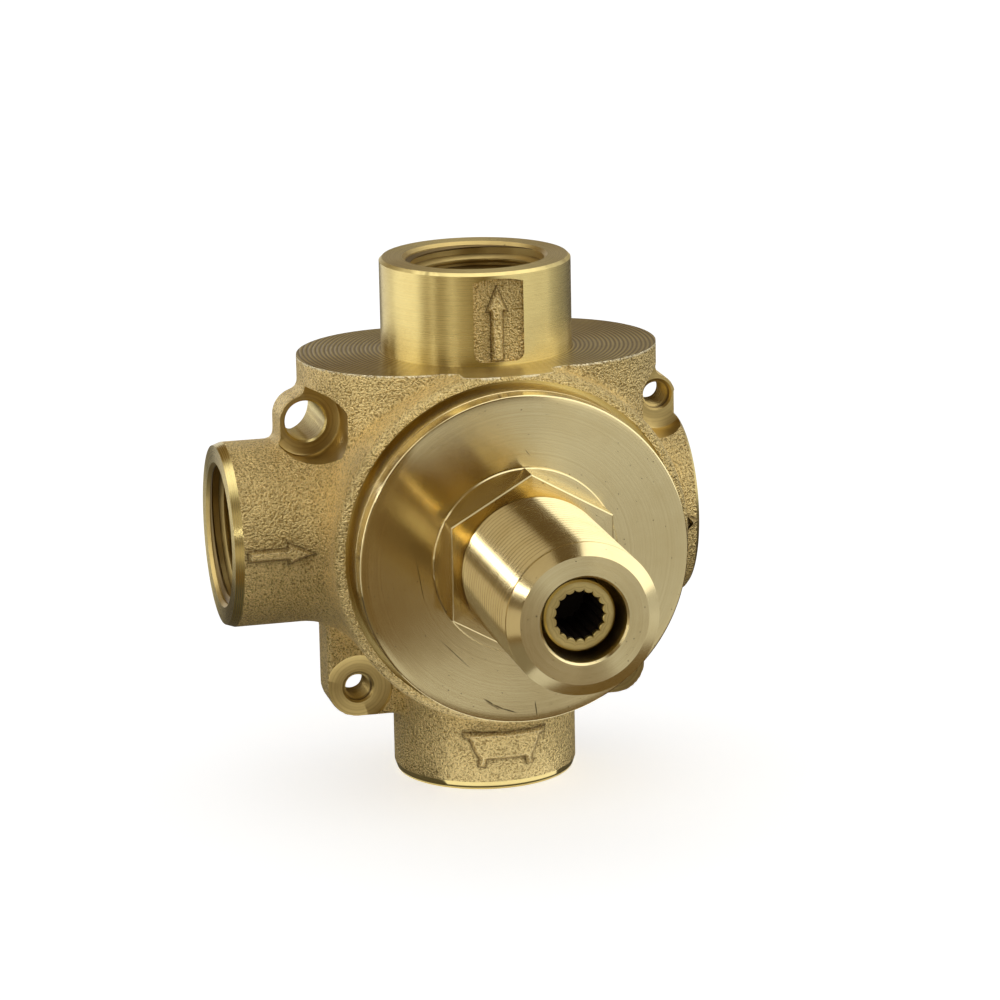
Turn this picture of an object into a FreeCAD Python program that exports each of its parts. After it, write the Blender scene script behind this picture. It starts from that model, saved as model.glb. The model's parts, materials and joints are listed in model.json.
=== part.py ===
"""Shower diverter valve: cast brass body with four pipe ports, bonnet, stem and ceramic discs.

Millimetres. The origin is the middle of the flat back, on the stem's axis. X is right, Y goes
back into the wall, so the nose points to -Y, and Z is up.
"""
import FreeCAD
import Part
import Sketcher

import math
import os

# Driving sizes: name, value, what it is
SIZES = [
    ("body_half_depth", 17.2, "port axes in front of the flat back"),
    ("drum_radius", 27.2, "round body and collar"),
    ("collar_reach", 22.0, "collar's front edge in front of the port axes"),
    ("collar_edge_round", 1.4, "rounding of the collar's cast edge"),
    ("back_edge_round", 4.0, "rounding of the back's cast edge"),
    ("shoulder_half_width", 27.6, "half width of the oval shoulder under the top port"),
    ("shoulder_top", 26.3, "machined top of the shoulder above the port axes"),
    ("shoulder_base", 9.0, "lower end of the shoulder"),
    ("top_port_radius", 14.5, "turned outside of the top port"),
    ("cast_port_radius", 14.05, "cast outside of the other ports"),
    ("top_port_reach", 40.4, "top port's end from the middle"),
    ("left_port_reach", 40.6, "left port's end from the middle"),
    ("right_port_reach", 31.0, "right port's end from the middle"),
    ("bottom_port_reach", 39.9, "bottom port's end from the middle"),
    ("turned_edge", 0.45, "chamfer round the top port's end"),
    ("cast_edge_length", 1.3, "length of the turned taper at the other ports' ends"),
    ("cast_edge_depth", 0.45, "depth of that taper"),
    ("port_thread_radius", 10.5, "half inch pipe thread, at its major radius"),
    ("port_thread_depth", 15.0, "depth of the pipe thread"),
    ("port_mouth_chamfer", 0.5, "chamfer at the mouth of the thread"),
    ("waterway_radius", 6.5, "waterway behind the thread"),
    ("way_end_room", 0.6, "waterways past their floor holes"),
    ("arrow_flat_width", 8.2, "as-cast flat on the front of the top port"),
    ("arrow_flat_base", 27.6, "lower edge of that flat"),
    ("arrow_flat_top", 39.2, "upper edge of that flat"),
    ("arrow_flat_depth", 0.75, "how far that flat lies under the turned outside"),
    ("ear_reach", 3.0, "front of the ears in front of the port axes"),
    ("ear_thickness", 7.0, "thickness of the ears"),
    ("upper_ear_offset", 27.4, "upper ear holes from the stem axis, sideways"),
    ("upper_ear_height", 17.4, "upper ear holes above the port axes"),
    ("clearance_ear_radius", 3.9, "round of the upper left ear"),
    ("tapped_ear_radius", 3.0, "round of the upper right ear"),
    ("spot_face_radius", 5.4, "spot faces of the upper ears"),
    ("clearance_hole_radius", 3.05, "upper left hole, for a wood screw"),
    ("lower_ear_offset", 20.4, "lower ear holes from the stem axis, sideways"),
    ("lower_ear_drop", 25.0, "lower ear holes below the port axes"),
    ("lower_ear_radius", 4.7, "round of the lower ears"),
    ("tapped_hole_radius", 2.2, "tapped ear holes"),
    ("chamber_radius", 22.0, "threaded chamber in the collar"),
    ("floor_wall", 1.5, "wall between the port threads and the chamber floor"),
    ("seat_reach", 20.0, "bonnet flange's seat in front of the port axes"),
    ("flange_radius", 24.87, "bonnet flange"),
    ("flange_gap", 0.85, "gap between the flange and the collar's lip"),
    ("flange_thickness", 8.3, "flange's turned face in front of its seat"),
    ("hex_across_flats", 24.4, "bonnet hexagon"),
    ("hex_ledge", 0.5, "round ledge left under the hexagon"),
    ("hex_height", 4.7, "hexagon in front of the flange"),
    ("nose_radius", 11.11, "nose thread, at its major radius"),
    ("nose_length", 33.6, "nose's end in front of the flange's face"),
    ("thread_pitch", 1.27, "nose thread, twenty turns to the inch"),
    ("thread_height", 0.75, "nose thread, from root to crest"),
    ("thread_crest", 0.25, "flat on the crests of the nose thread"),
    ("thread_turns", 21, "turns of the nose thread"),
    ("nose_chamfer", 1.0, "length of the nose's chamfer"),
    ("nose_face_radius", 9.34, "flat end of the nose"),
    ("stem_bore_radius", 6.22, "bore of the nose"),
    ("spigot_clearance", 0.1, "bonnet spigot inside the chamber"),
    ("spigot_end_gap", 0.5, "bonnet spigot above the chamber floor"),
    ("cavity_radius", 19.3, "bonnet's cavity for the discs"),
    ("seal_section", 1.6, "thickness of the O-rings"),
    ("seal_clearance", 0.05, "O-rings to their walls"),
    ("groove_room", 0.5, "extra width of the O-ring grooves"),
    ("stem_clearance", 0.1, "stem inside the bonnet's bore"),
    ("stem_sink", 2.7, "stem's end behind the nose's end"),
    ("stem_neck_radius", 5.2, "front part of the stem"),
    ("stem_journal_length", 17.0, "stem's journal in front of its thrust washer"),
    ("first_ring_step", 5.0, "first stem O-ring in front of the thrust washer"),
    ("ring_spacing", 6.0, "between the two stem O-rings"),
    ("shoulder_radius", 8.6, "stem's thrust shoulder"),
    ("shoulder_clearance", 0.4, "shoulder inside its recess in the bonnet"),
    ("shoulder_thickness", 2.5, "stem's thrust shoulder"),
    ("washer_thickness", 1.2, "thrust washer and glide ring"),
    ("washer_room", 0.3, "washer's hole round the stem"),
    ("square_width", 9.0, "stem's drive square"),
    ("square_clearance", 0.1, "drive square inside the carrier"),
    ("spline_depth", 11.0, "depth of the spline socket"),
    ("spline_teeth", 18, "teeth of the spline socket"),
    ("spline_crest_radius", 3.42, "crests of the spline's teeth"),
    ("spline_root_radius", 3.8, "roots between the teeth"),
    ("spline_notch_width", 0.95, "each notch at the crests"),
    ("disc_lift", 0.3, "fixed disc above the chamber floor, on its seals"),
    ("fixed_disc_radius", 19.0, "fixed ceramic disc"),
    ("fixed_disc_thickness", 3.0, "fixed ceramic disc"),
    ("moving_disc_radius", 18.6, "moving ceramic disc"),
    ("moving_disc_thickness", 3.0, "moving ceramic disc"),
    ("outlet_pitch", 12.8, "outlet holes from the stem axis"),
    ("outlet_radius", 4.3, "outlet holes and the flow slot"),
    ("inlet_radius", 4.7, "inlet hole in the middle"),
    ("slot_depth", 1.6, "flow slot in the moving disc"),
    ("seal_width", 1.5, "wall of the flat port seals"),
    ("seal_pocket_depth", 1.4, "pockets for the port seals"),
    ("carrier_thickness", 4.0, "disc carrier"),
    ("drive_lugs", 3, "lugs between carrier and moving disc"),
    ("lug_width", 5.0, "drive lugs"),
    ("lug_depth", 2.2, "drive lugs, inwards from the rim"),
    ("lug_length", 2.0, "drive lugs, into the moving disc"),
    ("lug_clearance", 0.1, "drive lugs in their notches"),
    ("glide_inner_radius", 9.6, "glide ring"),
    ("glide_width", 2.4, "glide ring"),
    ("stop_pin_radius", 1.5, "stop pin"),
    ("stop_pin_offset", 14.4, "stop pin from the stem axis"),
    ("stop_pin_hold", 3.0, "stop pin inside the bonnet"),
    ("stop_slot_depth", 2.8, "stop slot in the carrier"),
    ("stop_clearance", 0.4, "stop pin in its slot"),
    ("turn_angle", 180, "stem's travel in degrees"),
    ("locating_pin_radius", 1.25, "pins of the fixed disc"),
    ("locating_pin_offset", 15.5, "pins from the stem axis"),
    ("locating_pin_angle", 30, "pins above and below the inlet side, in degrees"),
    ("locating_pin_hold", 2.0, "pins inside the chamber floor"),
    ("locating_pin_reach", 2.0, "pins into the fixed disc"),
]

doc = FreeCAD.newDocument("ShowerDiverterValve")
sheet = doc.addObject("Spreadsheet::Sheet", "Sizes")
for row, (alias, value, meaning) in enumerate(SIZES, start=1):
    sheet.set(f"A{row}", meaning)
    sheet.set(f"B{row}", str(value))
    sheet.setAlias(f"B{row}", alias)
doc.recompute()
NAMES = {name for name, _, _ in SIZES}


def cells(text):
    """Expression text with each size's name turned into its sheet cell."""
    words = text.replace("(", "( ").replace(")", " )").split()
    return " ".join(f"Sizes.{word}" if word in NAMES else word for word in words)


def bind(thing, target, text):
    thing.setExpression(target, cells(text))


# Distances in front of the back and sizes that follow from the driving ones
COLLAR_FRONT = "body_half_depth + collar_reach"
EAR_FRONT = "body_half_depth + ear_reach"
EAR_BACK = f"{EAR_FRONT} - ear_thickness"
FLANGE_SEAT = "body_half_depth + seat_reach"
FLANGE_FRONT = f"{FLANGE_SEAT} + flange_thickness"
HEX_BACK = f"{FLANGE_FRONT} + hex_ledge"
NOSE_FRONT = f"{FLANGE_FRONT} + nose_length"
CHAMFER_BACK = f"{NOSE_FRONT} - nose_chamfer"
STEM_FRONT = f"{NOSE_FRONT} - stem_sink"
SPLINE_BACK = f"{STEM_FRONT} - spline_depth"
CHAMBER_FLOOR = "body_half_depth + port_thread_radius + floor_wall"
FIXED_DISC_BACK = f"{CHAMBER_FLOOR} + disc_lift"
DISC_JOINT = f"{FIXED_DISC_BACK} + fixed_disc_thickness"
CARRIER_BACK = f"{DISC_JOINT} + moving_disc_thickness"
CARRIER_FRONT = f"{CARRIER_BACK} + carrier_thickness"
CAVITY_FRONT = f"{CARRIER_FRONT} + washer_thickness"
SHOULDER_FRONT = f"{CARRIER_FRONT} + shoulder_thickness"
RECESS_FRONT = f"{SHOULDER_FRONT} + washer_thickness"
RECESS_RADIUS = "shoulder_radius + shoulder_clearance"
HEX_CORNER = "hex_across_flats / sqrt(3)"
JOURNAL_RADIUS = "stem_bore_radius - stem_clearance"
JOURNAL_FRONT = f"{RECESS_FRONT} + stem_journal_length"
GROOVE_WIDTH = "seal_section + groove_room"
STEM_GROOVE_RADIUS = "stem_bore_radius - seal_section"
SPIGOT_RADIUS = "chamber_radius - spigot_clearance"
SPIGOT_BACK = f"{CHAMBER_FLOOR} + spigot_end_gap"
BONNET_GROOVE_RADIUS = "chamber_radius - seal_section"
WASHER_HOLE = f"{JOURNAL_RADIUS} + washer_room"
STOP_PIN_FRONT = f"{CAVITY_FRONT} + stop_pin_hold"
STOP_PIN_BACK = f"{CARRIER_FRONT} - stop_slot_depth + stop_clearance"
LOCATING_PIN_BACK = f"{CHAMBER_FLOOR} - locating_pin_hold"
LOCATING_PIN_FRONT = f"{FIXED_DISC_BACK} + locating_pin_reach"
PIN_ACROSS = "- locating_pin_offset * cos( locating_pin_angle * 1 deg )"
PIN_UP = "locating_pin_offset * sin( locating_pin_angle * 1 deg )"
OUTLETS = {
    "top": ("0", "outlet_pitch"),
    "right": ("outlet_pitch", "0"),
    "bottom": ("0", "- outlet_pitch"),
}
# Ears: hole's place across and up, ear's radius, hole's radius
UPPER, LOWER = "upper_ear_height", "- lower_ear_drop"
EARS = {
    "upper_left_ear": ("- upper_ear_offset", UPPER, "clearance_ear_radius", "clearance_hole_radius"),
    "upper_right_ear": ("upper_ear_offset", UPPER, "tapped_ear_radius", "tapped_hole_radius"),
    "lower_left_ear": ("- lower_ear_offset", LOWER, "lower_ear_radius", "tapped_hole_radius"),
    "lower_right_ear": ("lower_ear_offset", LOWER, "lower_ear_radius", "tapped_hole_radius"),
}
ROLES = {"XY": "XY_Plane", "XZ": "XZ_Plane", "YZ": "YZ_Plane", "Y": "Y_Axis"}


def new_body(label):
    body = doc.addObject("PartDesign::Body", label)
    body.Label = label
    return body


def origin_part(body, name):
    return next(f for f in body.Origin.OriginFeatures if f.Role == ROLES[name])


def new_sketch(body, name, plane, forward="0", offset_axis="z"):
    """Sketch on one of the body's own planes, moved by an expression along one of its axes.

    On the XZ plane the sketch's normal is -Y, so a positive move goes forward.
    """
    sketch = body.newObject("Sketcher::SketchObject", name)
    sketch.AttachmentSupport = [(origin_part(body, plane), "")]
    sketch.MapMode = "FlatFace"
    if forward != "0":
        bind(sketch, f".AttachmentOffset.Base.{offset_axis}", forward)
    return sketch


def hold(sketch, geometry, point, across, up):
    """Tie a point of the sketch to two expressions, or to an axis where one is 0."""
    for kind, text, axis in (("DistanceX", across, -2), ("DistanceY", up, -1)):
        if text == "0":
            sketch.addConstraint(Sketcher.Constraint("PointOnObject", geometry, point, axis))
            continue
        start = sketch.getPoint(geometry, point)
        guess = start.x if kind == "DistanceX" else start.y
        index = sketch.addConstraint(Sketcher.Constraint(kind, -1, 1, geometry, point, guess))
        bind(sketch, f"Constraints[{index}]", text)


def polygon(sketch, corners):
    """Closed outline through corners given as (across, up) expressions."""
    count = len(corners)
    turn = 2 * math.pi / count
    guesses = [FreeCAD.Vector(30 * math.cos(turn * i + 0.3), 30 * math.sin(turn * i + 0.3), 0)
               for i in range(count)]
    for i in range(count):
        sketch.addGeometry(Part.LineSegment(guesses[i], guesses[(i + 1) % count]))
    for i in range(count):
        sketch.addConstraint(Sketcher.Constraint("Coincident", i, 2, (i + 1) % count, 1))
    for i, (across, up) in enumerate(corners):
        hold(sketch, i, 1, across, up)


def circle(sketch, across, up, radius):
    start = FreeCAD.Vector(1, 1, 0)
    index = sketch.addGeometry(Part.Circle(start, FreeCAD.Vector(0, 0, 1), 2.0))
    constraint = sketch.addConstraint(Sketcher.Constraint("Radius", index, 2.0))
    bind(sketch, f"Constraints[{constraint}]", radius)
    hold(sketch, index, 3, across, up)


def slot(sketch, left, right, up, radius):
    """Round-ended slot between two centres on one level."""
    normal = FreeCAD.Vector(0, 0, 1)
    ends = [FreeCAD.Vector(-8, 1, 0), FreeCAD.Vector(8, 1, 0)]
    half = math.pi / 2
    sketch.addGeometry(Part.ArcOfCircle(Part.Circle(ends[0], normal, 3), half, 3 * half))
    sketch.addGeometry(Part.ArcOfCircle(Part.Circle(ends[1], normal, 3), -half, half))
    sketch.addGeometry(Part.LineSegment(FreeCAD.Vector(-8, -2, 0), FreeCAD.Vector(8, -2, 0)))
    sketch.addGeometry(Part.LineSegment(FreeCAD.Vector(8, 4, 0), FreeCAD.Vector(-8, 4, 0)))
    for first, first_end, second, second_end in ((0, 2, 2, 1), (2, 2, 1, 1), (1, 2, 3, 1), (3, 2, 0, 1)):
        sketch.addConstraint(Sketcher.Constraint("Tangent", first, first_end, second, second_end))
    sketch.addConstraint(Sketcher.Constraint("Equal", 0, 1))
    constraint = sketch.addConstraint(Sketcher.Constraint("Radius", 0, 3.0))
    bind(sketch, f"Constraints[{constraint}]", radius)
    hold(sketch, 0, 3, left, up)
    hold(sketch, 1, 3, right, up)


def extrude(body, kind, sketch, length, reverse=False):
    """Pad or Pocket of a sketch. On XZ a Pad goes forward and a Pocket goes back."""
    feature = body.newObject(f"PartDesign::{kind}", f"{sketch.Name}{kind}")
    feature.Profile = sketch
    feature.Reversed = reverse
    bind(feature, "Length", length)
    doc.recompute()
    return feature


def turn(body, kind, sketch, axis="V_Axis"):
    """Revolution or Groove of a sketch round one of its own axes."""
    feature = body.newObject(f"PartDesign::{kind}", f"{sketch.Name}{kind}")
    feature.Profile = sketch
    feature.ReferenceAxis = (sketch, [axis])
    feature.Angle = 360
    doc.recompute()
    return feature


def turned(body, name, kind, corners):
    """Turned form round the stem axis, from (radius, distance in front of the back) corners."""
    sketch = new_sketch(body, name, "XY")
    polygon(sketch, [(radius, "0" if front == "0" else f"- ( {front} )") for radius, front in corners])
    return turn(body, kind, sketch)


def around(body, feature, count):
    """Repeat a feature evenly round the stem axis."""
    pattern = body.newObject("PartDesign::PolarPattern", f"{feature.Name}Pattern")
    pattern.Originals = [feature]
    pattern.Axis = (origin_part(body, "Y"), [""])
    pattern.Angle = 360
    bind(pattern, "Occurrences", count)
    body.Tip = pattern
    doc.recompute()


def along(body, feature, count, spacing):
    """Repeat a feature at even steps back along the stem axis."""
    pattern = body.newObject("PartDesign::LinearPattern", f"{feature.Name}Pattern")
    pattern.Originals = [feature]
    pattern.Direction = (origin_part(body, "Y"), [""])
    bind(pattern, "Length", f"( {count} - 1 ) * {spacing}")
    bind(pattern, "Occurrences", count)
    body.Tip = pattern
    doc.recompute()


def fillet(body, name, radius, wanted):
    """Round the edges that a test picks from the body's shape."""
    tip = body.Tip
    edges = [f"Edge{i}" for i, edge in enumerate(tip.Shape.Edges, start=1) if wanted(edge)]
    feature = body.newObject("PartDesign::Fillet", name)
    feature.Base = (tip, edges)
    bind(feature, "Radius", radius)
    doc.recompute()


def size(name):
    """Present value of a driving size."""
    return float(sheet.get(name))


def is_circle(edge, radius, axis, place):
    """Is this edge a circle of that radius, at that place along one coordinate axis?"""
    curve = edge.Curve
    if not isinstance(curve, Part.Circle) or abs(curve.Radius - radius) > 0.01:
        return False
    return abs(getattr(curve.Center, axis) - place) < 0.01


def o_ring(label, inner, outer, middle):
    """Round-section ring between two radii, its middle a distance in front of the back."""
    body = new_body(label)
    sketch = new_sketch(body, f"{label}_section", "XY")
    circle(sketch, f"( {inner} + {outer} ) / 2", f"- ( {middle} )",
           f"( {outer} - ( {inner} ) ) / 2 - seal_clearance")
    turn(body, "Revolution", sketch)


def washer(label, inner, outer, back, front):
    """Flat ring round the stem axis."""
    body = new_body(label)
    turned(body, f"{label}_section", "Revolution",
           [(inner, back), (outer, back), (outer, front), (inner, front)])
    return body


def pin(label, across, up, radius, back, front):
    """Plain pin along the stem's direction."""
    body = new_body(label)
    sketch = new_sketch(body, f"{label}_section", "XZ", back)
    circle(sketch, across, up, radius)
    extrude(body, "Pad", sketch, f"{front} - ( {back} )")


def port_sketch(body, name, upright, sign, corners):
    """Sketch of a port's half section, from (radius, distance from the middle) corners, and its axis."""
    plane, shift, axis = ("YZ", "x", "V_Axis") if upright else ("XY", "y", "H_Axis")
    sketch = new_sketch(body, name, plane, "- body_half_depth", shift)
    outline = [(radius, "0" if along == "0" else f"{sign} ( {along} )") for radius, along in corners]
    polygon(sketch, outline if upright else [(along, radius) for radius, along in outline])
    return sketch, axis


def port_outside(body, name, upright, sign, radius, reach, edge_length, edge_depth):
    """Port's outside, from the middle of the body out to its turned end."""
    corners = [
        ("0", "0"),
        (radius, "0"),
        (radius, f"{reach} - {edge_length}"),
        (f"{radius} - {edge_depth}", reach),
        ("0", reach),
    ]
    sketch, axis = port_sketch(body, name, upright, sign, corners)
    turn(body, "Revolution", sketch, axis)


def port_inside(body, name, upright, sign, reach, inner_end):
    """Port's mouth, pipe thread and waterway, turned round the port's axis."""
    thread_end = f"{reach} - port_thread_depth"
    corners = [
        ("0", reach),
        ("port_thread_radius + port_mouth_chamfer", reach),
        ("port_thread_radius", f"{reach} - port_mouth_chamfer"),
        ("port_thread_radius", thread_end),
        ("waterway_radius", f"{thread_end} - ( port_thread_radius - waterway_radius )"),
        ("waterway_radius", inner_end),
        ("0", inner_end),
    ]
    sketch, axis = port_sketch(body, name, upright, sign, corners)
    turn(body, "Groove", sketch, axis)


def ear(body, name, across, up, radius):
    """Round lug about its hole, with a web of the same width down or up to the middle of the body."""
    lug = new_sketch(body, name, "XZ", EAR_BACK)
    circle(lug, across, up, radius)
    extrude(body, "Pad", lug, "ear_thickness")
    web = new_sketch(body, f"{name}_web", "XZ", EAR_BACK)
    near, far = f"{across} - {radius}", f"{across} + {radius}"
    polygon(web, [(near, up), (far, up), (far, "0"), (near, "0")])
    extrude(body, "Pad", web, "ear_thickness")


def build_valve_body():
    body = new_body("valve_body")
    turned(body, "drum", "Revolution",
           [("0", "0"), ("drum_radius", "0"), ("drum_radius", COLLAR_FRONT), ("0", COLLAR_FRONT)])
    drum = size("drum_radius")
    collar = size("body_half_depth") + size("collar_reach")
    fillet(body, "drum_back_round", "back_edge_round", lambda edge: is_circle(edge, drum, "y", 0))
    fillet(body, "collar_round", "collar_edge_round", lambda edge: is_circle(edge, drum, "y", -collar))

    shoulder = new_sketch(body, "shoulder", "XY", "shoulder_base")
    end = "shoulder_half_width - body_half_depth"
    slot(shoulder, f"- ( {end} )", end, "- body_half_depth", "body_half_depth")
    extrude(body, "Pad", shoulder, "shoulder_top - shoulder_base")

    for name, (across, up, radius, _) in EARS.items():
        ear(body, name, across, up, radius)

    port_outside(body, "top_port", True, "", "top_port_radius", "top_port_reach",
                 "turned_edge", "turned_edge")
    for name, upright, sign in (("bottom", True, "-"), ("right", False, ""), ("left", False, "-")):
        port_outside(body, f"{name}_port", upright, sign, "cast_port_radius", f"{name}_port_reach",
                     "cast_edge_length", "cast_edge_depth")

    above = "drum_radius + collar_edge_round"
    facing, axis = port_sketch(body, "shoulder_facing", True, "", [
        ("top_port_radius", "shoulder_top"), ("shoulder_half_width", "shoulder_top"),
        ("shoulder_half_width", above), ("top_port_radius", above)])
    turn(body, "Groove", facing, axis)

    spot_faces = new_sketch(body, "spot_faces", "XZ", EAR_FRONT)
    for name in ("upper_left_ear", "upper_right_ear"):
        across, up, _, _ = EARS[name]
        circle(spot_faces, across, up, "spot_face_radius")
    extrude(body, "Pocket", spot_faces, "collar_reach - ear_reach", reverse=True)

    flat_front = "body_half_depth + top_port_radius"
    arrow_flat = new_sketch(body, "arrow_flat", "XZ", f"{flat_front} - arrow_flat_depth")
    side = "arrow_flat_width / 2"
    polygon(arrow_flat, [(side, "arrow_flat_base"), (side, "arrow_flat_top"),
                         (f"- {side}", "arrow_flat_top"), (f"- {side}", "arrow_flat_base")])
    extrude(body, "Pocket", arrow_flat, "arrow_flat_depth", reverse=True)

    turned(body, "chamber", "Groove", [
        ("0", CHAMBER_FLOOR), ("chamber_radius", CHAMBER_FLOOR),
        ("chamber_radius", FLANGE_SEAT), ("flange_radius + flange_gap", FLANGE_SEAT),
        ("flange_radius + flange_gap", COLLAR_FRONT), ("0", COLLAR_FRONT)])

    inner_end = "outlet_pitch - outlet_radius - way_end_room"
    port_inside(body, "top_way", True, "", "top_port_reach", inner_end)
    port_inside(body, "bottom_way", True, "-", "bottom_port_reach", inner_end)
    port_inside(body, "right_way", False, "", "right_port_reach", inner_end)
    port_inside(body, "left_way", False, "-", "left_port_reach", "- inlet_radius - way_end_room")

    floor_holes = new_sketch(body, "floor_holes", "XZ", CHAMBER_FLOOR)
    circle(floor_holes, "0", "0", "inlet_radius")
    for across, up in OUTLETS.values():
        circle(floor_holes, across, up, "outlet_radius")
    extrude(body, "Pocket", floor_holes, f"{CHAMBER_FLOOR} - body_half_depth")

    pockets = new_sketch(body, "seal_pockets", "XZ", CHAMBER_FLOOR)
    circle(pockets, "0", "0", "inlet_radius + seal_width")
    for across, up in OUTLETS.values():
        circle(pockets, across, up, "outlet_radius + seal_width")
    extrude(body, "Pocket", pockets, "seal_pocket_depth")

    pin_holes = new_sketch(body, "pin_holes", "XZ", CHAMBER_FLOOR)
    for sign in ("", "- "):
        circle(pin_holes, PIN_ACROSS, f"{sign}{PIN_UP}", "locating_pin_radius")
    extrude(body, "Pocket", pin_holes, "locating_pin_hold")

    ear_holes = new_sketch(body, "ear_holes", "XZ", EAR_FRONT)
    for across, up, _, hole in EARS.values():
        circle(ear_holes, across, up, hole)
    extrude(body, "Pocket", ear_holes, "ear_thickness")


def build_bonnet():
    body = new_body("bonnet")
    turned(body, "bonnet_form", "Revolution", [
        ("cavity_radius", SPIGOT_BACK), (SPIGOT_RADIUS, SPIGOT_BACK),
        (SPIGOT_RADIUS, f"{FLANGE_SEAT} - ( {GROOVE_WIDTH} )"),
        (BONNET_GROOVE_RADIUS, f"{FLANGE_SEAT} - ( {GROOVE_WIDTH} )"),
        (BONNET_GROOVE_RADIUS, FLANGE_SEAT), ("flange_radius", FLANGE_SEAT),
        ("flange_radius", FLANGE_FRONT), (HEX_CORNER, FLANGE_FRONT),
        (HEX_CORNER, HEX_BACK), ("nose_radius", HEX_BACK),
        ("nose_radius", CHAMFER_BACK), ("nose_face_radius", NOSE_FRONT),
        ("stem_bore_radius", NOSE_FRONT), ("stem_bore_radius", RECESS_FRONT),
        (RECESS_RADIUS, RECESS_FRONT), (RECESS_RADIUS, CAVITY_FRONT), ("cavity_radius", CAVITY_FRONT)])
    hexagon = new_sketch(body, "hexagon", "XZ", HEX_BACK)
    half, corner = "hex_across_flats / 2", HEX_CORNER
    polygon(hexagon, [(half, f"{corner} / 2"), ("0", corner), (f"- {half}", f"{corner} / 2"),
                      (f"- {half}", f"- {corner} / 2"), ("0", f"- {corner}"), (half, f"- {corner} / 2")])
    circle(hexagon, "0", "0", "stem_bore_radius")
    extrude(body, "Pad", hexagon, "hex_height - hex_ledge")
    nose_thread(body)
    pin_hole = new_sketch(body, "stop_pin_hole", "XZ", CAVITY_FRONT)
    circle(pin_hole, "- stop_pin_offset", "0", "stop_pin_radius")
    extrude(body, "Pocket", pin_hole, "stop_pin_hold", reverse=True)


def nose_thread(body):
    """Nose thread as rings: one V groove next to the chamfer, repeated back towards the hexagon."""
    side = "( thread_pitch - thread_crest ) / 2"
    middle = f"{CHAMFER_BACK} - thread_crest - {side}"
    back, front = f"{middle} - {side}", f"{middle} + {side}"
    outside = "nose_radius + thread_height"
    groove = turned(body, "thread_groove", "Groove", [
        ("nose_radius - thread_height", middle), ("nose_radius", front), (outside, front),
        (outside, back), ("nose_radius", back)])
    along(body, groove, "thread_turns", "thread_pitch")


def build_stem():
    body = new_body("stem")
    corners = [("0", CARRIER_FRONT), ("shoulder_radius", CARRIER_FRONT),
               ("shoulder_radius", SHOULDER_FRONT), (JOURNAL_RADIUS, SHOULDER_FRONT)]
    for middle in ring_places():
        back, front = f"{middle} - ( {GROOVE_WIDTH} ) / 2", f"{middle} + ( {GROOVE_WIDTH} ) / 2"
        corners += [(JOURNAL_RADIUS, back), (STEM_GROOVE_RADIUS, back),
                    (STEM_GROOVE_RADIUS, front), (JOURNAL_RADIUS, front)]
    corners += [(JOURNAL_RADIUS, JOURNAL_FRONT), ("stem_neck_radius", JOURNAL_FRONT),
                ("stem_neck_radius", STEM_FRONT), ("spline_crest_radius", STEM_FRONT),
                ("spline_crest_radius", SPLINE_BACK), ("0", SPLINE_BACK)]
    turned(body, "stem_form", "Revolution", corners)
    square = new_sketch(body, "drive_square", "XZ", CARRIER_FRONT)
    half = "square_width / 2"
    polygon(square, [(half, half), (f"- {half}", half), (f"- {half}", f"- {half}"), (half, f"- {half}")])
    extrude(body, "Pad", square, "carrier_thickness", reverse=True)
    notch = new_sketch(body, "spline_notch", "XZ", STEM_FRONT)
    notch_side = "spline_notch_width / 2"
    inner = "spline_crest_radius - ( spline_root_radius - spline_crest_radius )"
    polygon(notch, [(inner, notch_side), (inner, f"- {notch_side}"),
                    ("spline_crest_radius", f"- {notch_side}"), ("spline_root_radius", "0"),
                    ("spline_crest_radius", notch_side)])
    around(body, extrude(body, "Pocket", notch, "spline_depth"), "spline_teeth")


def ring_places():
    first = f"{RECESS_FRONT} + first_ring_step"
    return first, f"{first} + ring_spacing"


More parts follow.
